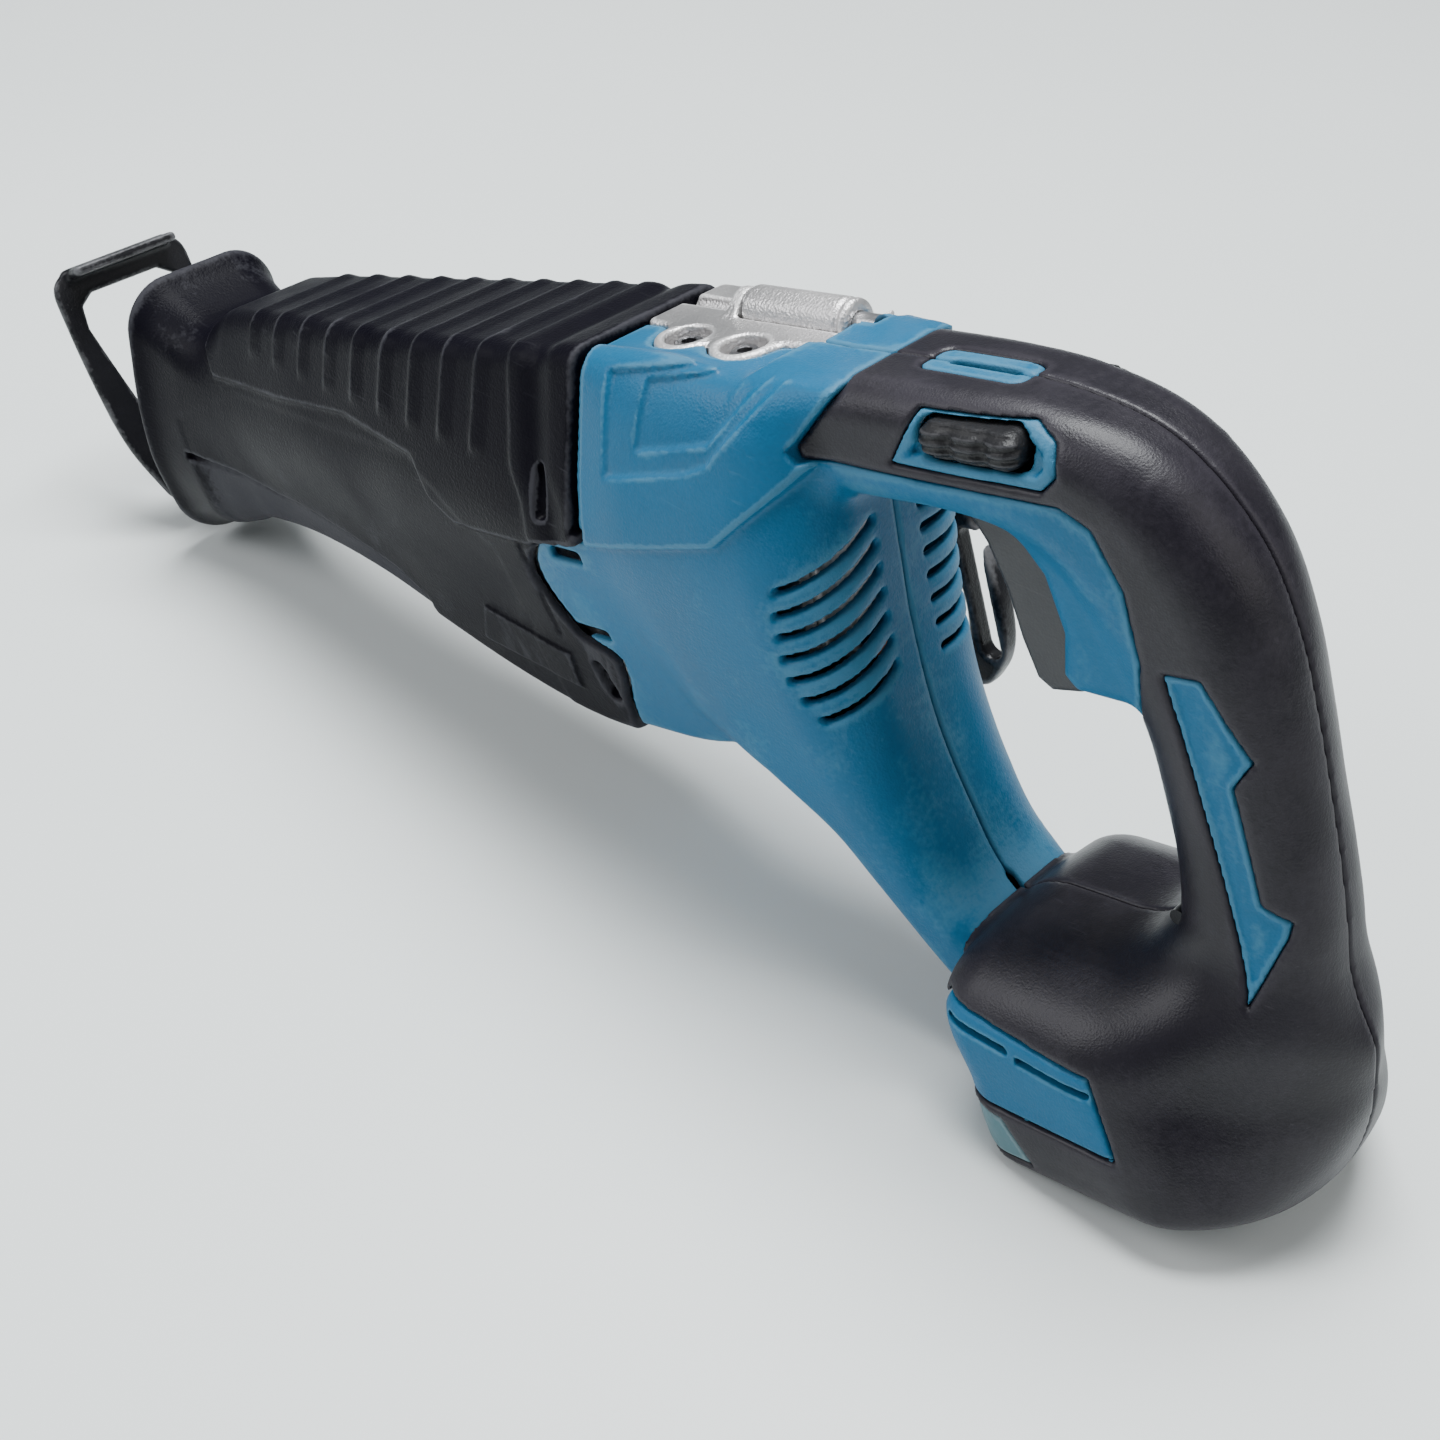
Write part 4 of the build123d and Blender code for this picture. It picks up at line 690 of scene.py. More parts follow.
# ---- casing ----------------------------------------------------------------------------------
@dataclass(frozen=True)
class Housing:
    """The casing, its soft grip layer and what is let into them."""
    cell: float = 0.8
    low: tuple[float, float, float] = (12.0, -46.4, -3.0)
    high: tuple[float, float, float] = (245.0, 46.4, 197.0)
    wall: float = 2.8
    layer: float = 2.0
    proud: float = 0.35
    vent_count: int = 7
    vent_pitch: float = 6.45
    vent_half: float = 1.15
    vent_top: float = 150.0
    bay_half: float = 31.0
    bay_height: float = 15.0
    bay_rear: float = 38.0
    rail: float = 4.0
    rear_facet: tuple[float, float] = (0.7515, 0.6597)
    tray_middle: float = 67.0
    tray_half: tuple[float, float] = (29.0, 24.0)
    tray_wall: float = 2.0
    tray_clear: float = 5.6
    board_gap: float = 0.2

    def head(self, b: Block) -> np.ndarray:
        """The six-sided head in front of the leg."""
        top = curve(b.x, (150, 185), (185, 188), (235, 187))
        low = curve(b.x, (150, 106), (170, 92), (200, 80), (235, 76))
        half = curve(b.x, (150, 30), (165, 34), (196, 37.3), (235, 37.8))
        body = rounded(b.y, b.z - (top + low) / 2, half, (top - low) / 2, 15.0)
        upper = 0.956 * (b.side - half) + 0.297 * (b.z - 147)
        lower = 0.970 * (b.side - half) - 0.243 * (b.z - 141)
        body = smooth_max(smooth_max(body, upper, 5.0), lower, 3.0)
        return smooth_max(body, 156 - b.x, 14.0)

    def leg(self, b: Block) -> np.ndarray:
        """The leg that holds the motor."""
        rear = curve(b.z, (30, 113), (44, 118), (55, 127), (70, 134), (89, 141), (117, 146), (151, 147.5))
        front = curve(b.z, (30, 131), (39, 141), (54, 156), (68, 170), (81, 189), (95, 206), (120, 219),
                      (150, 222))
        half = curve(b.z, (30, 23), (50, 24.5), (70, 27), (90, 29.5), (120, 32.7), (150, 34), (180, 29))
        corner = curve(b.z, (30, 9), (52, 13), (70, 17), (90, 19), (120, 21), (180, 21))
        body = rounded(b.x - (front + rear) / 2, b.y, (front - rear) / 2, half, corner)
        return smooth_max(smooth_max(body, b.z - 182, 12.0), 31 - b.z, 2.0)

    def handle(self, b: Block) -> np.ndarray:
        """The D-handle, worked out round the nearest point of its middle line."""
        knots = ((166, 175, 22.5, 29, 9), (140, 175.5, 22, 29, 9), (116, 175.5, 21.5, 29, 9.5),
                 (96, 173, 20.5, 32, 11), (79, 165, 19.5, 39, 13), (67.5, 151, 18.7, 43, 15),
                 (60.5, 135, 18, 42, 16), (56, 119, 17.4, 39, 16), (53, 102, 17, 38, 16),
                 (50.3, 84, 17, 37, 15), (49.5, 66, 18, 38, 15), (52, 48, 20, 41, 16), (57, 28, 20, 42, 16),
                 (61, 8, 17, 36, 15))
        steps = np.arange(len(knots), dtype=np.float64)
        reading = np.linspace(0, len(knots) - 1, 260)
        line = [curve(reading, *zip(steps, [knot[i] for knot in knots])) for i in range(5)]
        grid_x = b.x[:, 0, 0][:, None]
        grid_z = b.z[0, 0, :][None, :]
        best = np.full((grid_x.shape[0], grid_z.shape[1]), 1e9, np.float32)
        index = np.zeros(best.shape, int)
        for number in range(len(reading)):
            away = (grid_x - line[0][number]) ** 2 + (grid_z - line[1][number]) ** 2
            closer = away < best
            best = np.where(closer, away, best)
            index = np.where(closer, number, index)
        run_x, run_z = np.gradient(line[0]), np.gradient(line[1])
        length = np.hypot(run_x, run_z)
        offset_x = grid_x - line[0][index]
        offset_z = grid_z - line[1][index]
        across = (offset_z * run_x[index] - offset_x * run_z[index]) / length[index]
        beyond = np.abs(offset_x * run_x[index] + offset_z * run_z[index]) / length[index]
        pieces = [values[index][:, None, :] for values in (line[2], line[3], line[4])]
        half, depth, corner = (evened(piece) for piece in pieces)
        body = rounded(b.y, across[:, None, :], half, depth / 2, corner)
        at_end = (index == 0) | (index == len(reading) - 1)
        return np.maximum(body, np.where(at_end, beyond, NOWHERE)[:, None, :]).astype(np.float32)

    def base(self, b: Block) -> np.ndarray:
        """The foot that carries the battery."""
        rear = curve(b.z, (-2, 33), (2, 31), (8, 28.5), (20, 25.5), (30, 24.5), (40, 24), (50, 30),
                     (60, 36))
        front = curve(b.z, (-2, 106), (2, 108), (20, 113), (40, 120), (48, 119.5), (60, 114))
        half = curve(b.z, (-2, 41.5), (2, 43.6), (8, 44.2), (20, 43.6), (38, 42.3), (48, 37.5), (60, 28))
        plan = rounded(b.x - (front + rear) / 2, b.y, (front - rear) / 2, half, 11.0)
        depth = curve(b.z, (-2, 0.62), (4, 0.65), (20, 0.85), (60, 0.9))
        centre = rear + half * depth
        round_rear = np.hypot(np.maximum(centre - b.x, 0) / depth, b.y) - half
        plan = np.maximum(plan, np.where(b.x < centre, round_rear, NOWHERE))
        limit = curve(b.z, (-2, -1), (2, 0), (8, 2.5), (20, 6.9), (30, 11.4), (38, 13.4), (50, 15),
                      (60, 17))
        aside, back = self.rear_facet
        plan = smooth_max(plan, aside * b.side - back * b.x + limit, 9.0)
        top = 55.5 - 0.0016 * (b.x - 92) ** 2 - 0.004 * b.y ** 2
        return smooth_max(smooth_max(plan, b.z - top, 12.0), -0.2 - b.z, 3.5)

    def guard(self, b: Block) -> np.ndarray:
        """The block under the handle that the trigger slides in."""
        side = outline(b.x, b.z, ((70, 121), (89, 121), (93, 125), (92, 136), (96, 149), (104, 158.5),
                                  (116, 163), (116, 176), (66, 176)))
        return smooth_max(side, b.side - 15.5, 7.0)

    def outer(self, b: Block) -> np.ndarray:
        """The whole outer form of casing and soft layer."""
        body = smooth_min(self.head(b), self.leg(b), 9.0)
        grip = smooth_min(self.handle(b), self.base(b), 17.0)
        grip = smooth_min(grip, self.guard(b), 2.5)
        return smooth_min(body, grip, 6.0)

    def raised_panel(self, b: Block) -> np.ndarray:
        """The raised plate on each side of the head, with its recess."""
        plate = outline(b.x, b.z, ((219, 142), (219, 196), (122, 198), (141, 178), (155, 165),
                                   (173, 150.5)))
        recess = outline(b.x, b.z, ((208, 162.5), (208, 187), (152, 194), (174.4, 170), (181, 167.5)))
        inner = outline(b.x, b.z, ((198, 170), (196, 186), (160, 191), (174.5, 174.5)))
        sideways = np.clip((b.side - 16) / 6, 0, 1)
        height = 2.5 * ramp(plate, 1.5) - 1.1 * ramp(recess, 1.6) - 1.0 * ramp(inner, 1.4)
        return height * sideways

    def soft_area(self, b: Block, leg: np.ndarray) -> np.ndarray:
        """Where the soft layer lies, as distances that are negative inside it."""
        handle = outline(b.x, b.z, (
            (142, 206), (142, 188), (149, 180), (153.5, 174.5), (152, 171.5), (137, 171), (108, 170.5),
            (85, 170), (77.5, 166), (71, 153), (68.5, 136), (71.5, 119.5), (112, 119), (112, 62),
            (150, 40), (150, -20), (-20, -20), (-20, 206)))
        trim = outline(b.x, b.z, ((172, 70), (163, 67), (148, 47), (134, 33), (128, 20), (190, 20)))
        area = smooth_max(handle, 0.35 - leg, 0.8)
        area = smooth_min(area, trim, 1.0)
        return smooth_max(area, -self.windows(b), 0.8)

    def windows(self, b: Block) -> np.ndarray:
        """The openings in the soft layer that show the casing."""
        inlay = outline(b.x, b.z, ((63, 135), (54, 135.5), (44, 117), (48, 110.5), (42.5, 82),
                                   (36.5, 78), (37, 74), (44, 56)))
        inlay = np.maximum(inlay, 8 - b.side)
        button = np.maximum(self.button_area(b), 13 - b.side)
        slot = np.maximum(rounded(b.x - 117, b.y, 14.0, 6.0, 3.0), 184 - b.z)
        panel = np.maximum(self.panel_area(b) - 0.5, 25 - b.side)
        badge = np.maximum(self.badge_area(b) - 0.4, 25 - b.side)
        return np.minimum(np.minimum(np.minimum(inlay, button), np.minimum(slot, panel)), badge)

    @staticmethod
    def button_area(b: Block) -> np.ndarray:
        """The outline of the opening round the button."""
        return outline(b.x, b.z, ((127, 174.3), (119.5, 186.4), (92, 186.2), (86.5, 183), (85.5, 177),
                                  (89, 173.6))) - 0.6

    @staticmethod
    def panel_area(b: Block) -> np.ndarray:
        """The outline of the vented panel in the base's side."""
        return outline(b.x, b.z, ((74, 36.5), (116.5, 42), (119, 38), (115.5, 20), (112, 18), (67, 16.5)))

    @staticmethod
    def badge_area(b: Block) -> np.ndarray:
        """The outline of the plain badge below the panel."""
        return outline(b.x, b.z, ((113.5, 15.5), (99, 14), (91, 3.5), (107, 3)))

    def bracket_area(self, b: Block) -> np.ndarray:
        """The outline, seen from above, of the bright plate let into the head."""
        body = rounded(b.x - 193.5, b.y + 13.5, 29.5, 14.5, 2.0)
        for hole in (185.0, 204.0):
            body = smooth_min(body, np.hypot(b.x - hole, b.y - 5) - 8.8, 5.0)
        return np.maximum(body, b.x - 223)

    def front_edge(self, b: Block) -> np.ndarray:
        """Where the casing ends: under the collar above, further back at the foot."""
        return curve(b.z, (70, 233), (86, 231), (98, 227.5), (103, 228), (108, 238), (112, 240.5),
                     (138, 240.5), (140.5, 238), (142, 223.5), (146, 222.8), (160, 222.6), (190, 222.6))

    def vents(self, b: Block) -> np.ndarray:
        """The slots that step down both rear corners of the leg."""
        level = b.z + np.where(b.y > 0, 0.45 * (b.y - 10), 2.8)
        step = np.clip(np.round((self.vent_top - level) / self.vent_pitch), 0, self.vent_count - 1)
        away = np.abs(self.vent_top - step * self.vent_pitch - level) - self.vent_half
        reach = curve(b.z, (99, 152), (106, 157), (113, 160.5), (128, 161.5), (140, 160), (152, 155))
        area = np.maximum(np.maximum(8.0 - b.side, b.x - reach), 120 - b.x)
        return smooth_max(away, area, 1.0)

    def bay(self, b: Block) -> np.ndarray:
        """The pocket under the base with its rails."""
        throat = np.maximum(b.side - (self.bay_half - self.rail), b.z - self.bay_height)
        hollow = np.maximum(np.maximum(b.side - self.bay_half, self.rail - b.z), b.z - self.bay_height)
        bevel = 0.7515 * b.side - 0.6597 * b.x + 9.0
        return np.maximum(np.maximum(np.minimum(throat, hollow), self.bay_rear - b.x), bevel)

    def openings(self, b: Block) -> np.ndarray:
        """Everything cut through both layers: trigger slot, button pockets and the bay."""
        reach = np.maximum(84 - b.x, b.x - 127)
        trigger = np.maximum(np.maximum(b.side - 7.5, reach), np.maximum(112 - b.z, b.z - 167))
        button = rounded(b.x - 106, b.z - 181, 14.2, 5.1, 4.4)
        return np.minimum(np.minimum(trigger, button), self.bay(b))

    def build(self, bench: Bench) -> None:
        """Makes both casing halves, both soft layers, the panels and the badges."""
        b = Block(self.low, self.high, self.cell)
        leg = self.leg(b)
        outer = self.outer(b)
        area = self.soft_area(b, leg)
        openings = self.openings(b)
        casing = outer - self.raised_panel(b)
        rim = smooth_max(self.button_area(b) + 3.2, -(outer + 2.0), 0.8)
        casing = smooth_max(casing, -rim, 1.4)
        sunk = np.maximum(np.maximum(self.windows(b) + 1.5, b.x - 70), -(outer + 0.7))
        casing = smooth_max(casing, -sunk, 0.9)
        casing = smooth_max(casing, -np.maximum(-(outer + self.layer + 0.15), area - 0.15), 0.5)
        slot = np.maximum(rounded(b.x - 116, b.y, 9.5, 1.3, 1.2), -(outer + 2.5))
        casing = smooth_max(casing, -slot, 0.6)
        casing = smooth_max(casing, -np.maximum(self.bracket_area(b) - 0.35, 183 - b.z), 0.6)
        for place, level in ((231.0, 136.0), (234.0, 109.5)):
            tab = np.maximum(rounded(b.x - place, b.z - level, 6.0, 1.8, 1.0), 24 - b.side)
            casing = smooth_max(casing, -tab, 0.6)
        for side_area in (self.panel_area(b), self.badge_area(b)):
            casing = np.maximum(casing, -np.maximum(side_area - 0.3, -(outer + 3.2)))
        thick = self.wall + (self.layer + 0.3) * ramp(area, 5.0)
        hollow = smooth_max(outer + thick, 19.5 - b.z, 2.0)
        casing = smooth_max(casing, -hollow, 0.8)
        casing = smooth_max(casing, -self.vents(b), 0.8)
        mound = smooth_max(np.hypot(b.y + 15, b.z - 184.5) - 5.2, np.abs(b.x - 153.5) - 7.5, 2.5)
        mound = smooth_max(mound, 184 - b.z, 1.0)
        casing = smooth_min(casing, mound, 5.0)
        pin = np.maximum(np.hypot(b.y + 15, b.z - 188.5) - 3.4, 157.5 - b.x)
        casing = smooth_max(casing, -np.maximum(pin, b.x - 166), 0.5)
        channel = np.maximum(hook_run(b, 0.7), 150 - b.z)
        bed = np.maximum(np.maximum(channel - 2.4, outer), 153 - b.z)
        casing = smooth_max(np.minimum(casing, bed), -channel, 0.8)
        casing = smooth_max(casing, b.x - self.front_edge(b), 1.0)
        casing = smooth_max(casing, -openings, 0.8)
        soft = smooth_max(outer - self.proud * ramp(area, 2.4), area, 1.2)
        soft = np.maximum(soft, -(outer + self.layer))
        soft = smooth_max(soft, -openings, 0.8)
        for name, side in (("left", 1.0), ("right", -1.0)):
            half = -side * b.y + 0.06
            casing_half = self.half_block(b, smooth_max(casing, half, 1.1), name)
            bench.mount(casing_half[0].skin("casing_" + name, casing_half[1], bench.stance),
                        "teal_plastic", Body.HOUSING, ["casing_" + name])
            soft_half = self.half_block(b, smooth_max(soft, half, 0.7), name)
            bench.mount(soft_half[0].skin("soft_grip_" + name, soft_half[1], bench.stance),
                        "soft_black", Body.HOUSING, ["soft_grip_" + name])
        self.side_pieces(bench)
        self.tray_pieces(bench)

    @staticmethod
    def half_block(b: Block, field: np.ndarray, name: str) -> tuple[Block, np.ndarray]:
        """Cuts the block down to one side.

        Args:
            b: the whole block.
            field: distances on it.
            name: left or right.

        Returns:
            The smaller block and its part of the field.
        """
        middle = int(np.argmin(np.abs(b.y[0, :, 0])))
        part = slice(middle - 2, None) if name == "left" else slice(None, middle + 3)
        smaller = Block((0, 0, 0), (1, 1, 1), b.cell)
        smaller.low = b.low.copy()
        smaller.low[1] = b.y[0, part, 0][0]
        smaller.x, smaller.y, smaller.z = b.x, b.y[:, part], b.z
        smaller.side = np.abs(smaller.y)
        return smaller, field[:, part]

    def tray_pieces(self, bench: Bench) -> None:
        """Makes the controller's tray and board, held clear of the base's sloping shell."""
        b = Block((34, -28, 15), (100, 28, 31), 0.5)
        form = self.base(b)
        along = b.x - self.tray_middle
        outside = self.tray_half
        inside = [half - self.tray_wall for half in outside]
        tray = np.maximum(rounded(along, b.y, *outside, 2.0), np.abs(b.z - 23.25) - 4.75)
        well = np.maximum(rounded(along, b.y, *inside, 1.5), 20.0 - b.z)
        well = smooth_max(well, form + (self.tray_clear + self.tray_wall), 1.0)
        tray = smooth_max(smooth_max(tray, form + self.tray_clear, 1.0), -well, 0.4)
        bench.mount(b.skin("controller_tray", tray, bench.stance, 1.0), "cast_aluminium",
                    Body.HOUSING, ["controller_tray"])
        edges = [half - self.board_gap for half in inside]
        board = np.maximum(rounded(along, b.y, *edges, 1.5), np.abs(b.z - 23.1) - 2.9)
        board = smooth_max(board, form + (self.tray_clear + self.tray_wall + self.board_gap), 0.6)
        bench.mount(b.skin("controller_board", board, bench.stance, 1.0),
                    "potting", Body.HOUSING, ["controller_board"])

    def side_pieces(self, bench: Bench) -> None:
        """Makes the vented panels and plain badges in the base's sides."""
        for name, side in (("left", 1.0), ("right", -1.0)):
            y_low, y_high = (24.0, 46.5) if side > 0 else (-46.5, -24.0)
            b = Block((60, y_low, -2), (126, y_high, 48), 0.45)
            outer = self.base(b)
            panel = smooth_max(smooth_max(outer + 0.1, self.panel_area(b), 1.2), -(outer + 3.0), 0.4)
            for x, z, length in ((105.5, 36.6, 9.6), (83.5, 33.2, 10.2)):
                lean = b.z - z - 0.115 * (b.x - x)
                panel = smooth_max(panel, -rounded(b.x - x, lean, length, 1.0, 0.9), 0.5)
            end = rounded(b.x - 116.3 - 0.2 * (b.z - 30), b.z - 29, 0.9, 6.5, 0.8)
            panel = smooth_max(panel, -end, 0.5)
            bench.mount(b.skin("base_vent_panel_" + name, panel, bench.stance, 1.0), "teal_plastic",
                        Body.HOUSING, ["base_vent_panel_" + name])
            badge = smooth_max(smooth_max(outer + 0.2, self.badge_area(b), 1.0), -(outer + 3.0), 0.4)
            bench.mount(b.skin("base_badge_" + name, badge, bench.stance, 1.0), "badge_plastic",
                        Body.HOUSING, ["base_badge_" + name])


def evened(values: np.ndarray) -> np.ndarray:
    """Evens out values read off the nearest point of a line, over the XZ plane.

    Args:
        values: a grid one cell deep in Y.

    Returns:
        The evened grid.
    """
    flat = values[:, 0, :]
    width = 9
    for axis in (0, 1):
        padding = [(0, 0), (0, 0)]
        padding[axis] = (width // 2 + 1, width // 2)
        total = np.cumsum(np.pad(flat, padding, mode="edge"), axis=axis, dtype=np.float64)
        upper = np.take(total, range(width, total.shape[axis]), axis=axis)
        lower = np.take(total, range(0, total.shape[axis] - width), axis=axis)
        flat = (upper - lower) / width
    return flat[:, None, :].astype(np.float32)


# ---- front end -------------------------------------------------------------------------------
@dataclass(frozen=True)
class NoseBoot:
    """The rubber cover of the nose with its collar, ribs and flared mouth."""
    cell: float = 0.75
    wall: float = 3.0
    flange_x: float = 451.0
    flange_z: float = 135.5
    rake: float = 11.0
    rib_first: float = 379.0
    rib_pitch: float = 14.6
    rib_count: int = 9
    button_x: float = 364.4

    def section(self, b: Block) -> tuple[np.ndarray, np.ndarray]:
        """The boot's outer form without its ends, and the distance forward of the flange's face."""
        cos_r, sin_r = math.cos(math.radians(self.rake)), math.sin(math.radians(self.rake))
        forward = (b.x - self.flange_x) * cos_r + (b.z - self.flange_z) * sin_r
        up = (b.z - self.flange_z) * cos_r - (b.x - self.flange_x) * sin_r
        top = curve(b.x, (220, 188), (240, 186.5), (293, 182.5), (325, 180.5), (376, 177.5), (405, 175),
                    (430, 176))
        low = curve(b.x, (220, 74.5), (250, 73.5), (285, 79), (315, 88), (343, 97), (384, 102.5),
                    (410, 101.5), (431, 98))
        half = curve(b.x, (220, 38.3), (240, 38.2), (298, 35.3), (349, 31.3), (402, 27.6), (431, 27.2))
        body = rounded(b.y, b.z - (top + low) / 2, half, (top - low) / 2, 13.0)
        widest = curve(b.x, (235, 144), (300, 146), (400, 144))
        upper = 0.956 * (b.side - half) + 0.297 * (b.z - widest)
        lower = 0.970 * (b.side - half) - 0.243 * (b.z - widest + 6)
        body = smooth_max(smooth_max(body, upper, 5.0), lower, 4.0)
        tall = curve(forward, (-60, 36.5), (-38, 36.8), (-22, 39), (-11, 43), (-4, 46.5), (6, 47.5))
        wide = curve(forward, (-60, 26.0), (-38, 26.2), (-22, 26.8), (-11, 27.6), (-4, 28.9), (6, 29.2))
        wide = wide - curve(up, (-47, 11.0), (-30, 5.5), (-12, 1.0), (5, 0.0), (30, 1.5), (47, 3.0))
        flare = rounded(b.y, up, wide, tall, 14.0)
        blend = ramp(-(forward + 34), 26.0)
        return body * (1 - blend) + flare * blend, forward

    def relief(self, b: Block) -> np.ndarray:
        """How far ribs, steps and lips stand proud of the plain form."""
        shoulder = outline(b.x, b.z, ((200, 138.5), (277, 136), (287, 142), (292.5, 153), (327, 158.5),
                                      (365, 156.5), (404, 157), (411, 165), (412, 215), (200, 215)))
        height = 1.4 * ramp(shoulder, 2.0)
        lean = b.x - 0.08 * (176 - b.z)
        rib = np.clip(np.round((self.rib_first - lean) / self.rib_pitch), 0, self.rib_count - 1)
        away = self.rib_first - rib * self.rib_pitch - lean
        crest = np.where(away > 0, np.clip(1 - away / 6.0, 0, 1), np.clip(1 + away / 1.3, 0, 1))
        low_end = 168.0 - 0.07 * (380 - b.x) - b.z
        height = height + 0.75 * crest * ramp(low_end, 5.0)
        collar = self.collar_line(b)
        height = height + 0.7 * ramp(b.x - collar, 1.6) * ramp(139 - b.z, 2.0)
        band = np.exp(-((b.x - collar + 10.5) / 4.2) ** 2)
        height = height - 1.5 * band * ramp(140 - b.z, 6.0)
        line = np.exp(-((b.x - 249) / 1.0) ** 2) * ramp(np.abs(b.z - 121) - 16, 3.0)
        height = height - 0.7 * line
        panel = outline(b.x, b.z, ((262, 130), (283, 146), (296, 152), (392, 153), (430, 140),
                                   (430, 60), (262, 60)))
        height = height - 0.3 * ramp(panel, 2.4)
        pad = outline(b.x, b.z, ((283.7, 105.7), (248, 99), (250, 86), (293, 91)))
        height = height + 1.2 * ramp(pad, 1.4)
        slot = rounded(b.x - 235.8, b.z - 153, 1.5, 7.0, 1.3)
        tail = rounded(b.x - 237 - 0.15 * (b.z - 90), b.z - 92, 2.2, 6.5, 1.6)
        return height - 2.4 * ramp(np.minimum(slot, tail), 1.0)

    @staticmethod
    def collar_line(b: Block) -> np.ndarray:
        """The front edge of the collar."""
        return curve(b.z, (138, 242), (150, 242.7), (158, 246.5), (168, 247.5), (190, 249))

    @staticmethod
    def rear_edge(b: Block) -> np.ndarray:
        """Where the boot ends over the casing: a collar above, a step below it, a tail at the foot."""
        return curve(b.z, (70, 234.5), (86, 232.5), (98, 229), (103, 230), (107, 240.5), (111, 243.5),
                     (136, 243.5), (138.5, 240), (140.5, 226), (145, 224.4), (160, 223.8), (190, 223.6))

    def build(self, bench: Bench) -> None:
        """Makes the boot."""
        b = Block((220.5, -42, 70), (482, 42, 196), self.cell)
        plain, forward = self.section(b)
        sideways = np.clip((b.side + np.maximum(b.z - 150, 0) - 10) / 8, 0, 1)
        outer = plain - self.relief(b) * sideways
        rim = np.exp(-((forward + 3.0) / 3.2) ** 2) * 1.3
        outer = outer - rim
        seam = outline(b.x, b.z, ((446, 129), (408, 122), (387, 118), (371, 116.5), (350, 111.5),
                                  (330, 105), (320, 97), (320, 60), (480, 60), (480, 129)))
        outer = outer + 1.3 * ramp(seam, 1.5) * ramp(forward + 26, 10.0)
        cut = np.maximum(np.abs(seam) - 1.1, forward + 20)
        outer = smooth_max(outer, -np.maximum(cut, -(plain + 2.0)), 0.6)
        body = smooth_max(outer, forward, 4.0)
        body = smooth_max(body, self.rear_edge(b) - b.x, 1.4)
        body = smooth_max(body, -(plain + self.wall), 1.0)
        hole = np.maximum(np.hypot(b.x - self.button_x, b.y) - 6.0, b.z - 118)
        body = smooth_max(body, -hole, 1.5)
        bench.mount(b.skin("nose_boot", body, bench.stance), "boot_rubber", Body.HOUSING, ["nose_boot"])


@dataclass(frozen=True)
class GearCase:
    """The cast case of crank and rod, close inside head and boot."""
    cell: float = 1.1
    inset: float = 4.4
    crank: tuple[float, float] = (198.0, 137.0)
    motor_tilt: float = 33.0
    motor_face: float = 38.3
    front: float = 430.0
    head_end: float = 245.0
    boot_start: float = 222.0

    def build(self, bench: Bench, housing: Housing, boot: NoseBoot) -> None:
        """Makes the case with its chamber, its bores and its motor face."""
        b = Block((162, -36, 78), (432, 36, 184), self.cell)
        plain, _ = boot.section(b)
        form = np.maximum(np.where(b.x < self.head_end, housing.head(b), NOWHERE),
                          np.where(b.x > self.boot_start, plain, NOWHERE))
        body = smooth_max(form + self.inset, 163.5 - b.x, 2.0)
        body = smooth_max(smooth_max(body, b.x - self.front, 2.0), b.z - 182, 1.5)
        turn = math.radians(self.motor_tilt)
        away_x, away_z = b.x - self.crank[0], b.z - self.crank[1]
        along = -away_x * math.sin(turn) - away_z * math.cos(turn)
        across = away_z * math.sin(turn) - away_x * math.cos(turn)
        body = smooth_max(body, along - self.motor_face, 1.0)
        crank = np.hypot(away_x, away_z)
        tunnel = np.hypot(b.y, away_z)
        box = np.maximum(np.maximum(166.7 - b.x, b.x - 230.3), np.maximum(np.abs(away_z) - 28, -3 - b.y))
        cover = np.maximum(np.maximum(162 - b.x, b.x - 238.6),
                           np.maximum(np.abs(away_z) - 37.7, 13.7 - b.y))
        hollows = (
            np.maximum(crank - 30.4, -21 - b.y), box, cover,
            np.maximum(crank - 9.6, b.y + 20), crank - 6.2,
            np.maximum(tunnel - 9.6, self.crank[0] - b.x), np.maximum(tunnel - 12, 274 - b.x),
            np.maximum(tunnel - 14, 407 - b.x),
            np.maximum(np.maximum(315 - b.x, b.side - 10.4), np.abs(b.z - 113.5) - 2.9),
            np.maximum(np.hypot(b.x - boot.button_x, b.y) - 5.6, b.z - 130),
            np.maximum(np.hypot(across, b.y + 5) - 8.6, np.maximum(-along, along - 44)),
            np.maximum(np.hypot(b.x - 185, b.y - 5) - 2.6, 158 - b.z),
            np.maximum(np.hypot(b.x - 204, b.y - 5) - 2.6, 158 - b.z),
            np.maximum(hook_run(b, 3.8), 148 - b.z),
        )
        for hollow in hollows:
            body = smooth_max(body, -hollow, 0.8)
        bench.mount(b.skin("gear_case", body, bench.stance), "cast_aluminium", Body.HOUSING, ["gear_case"])


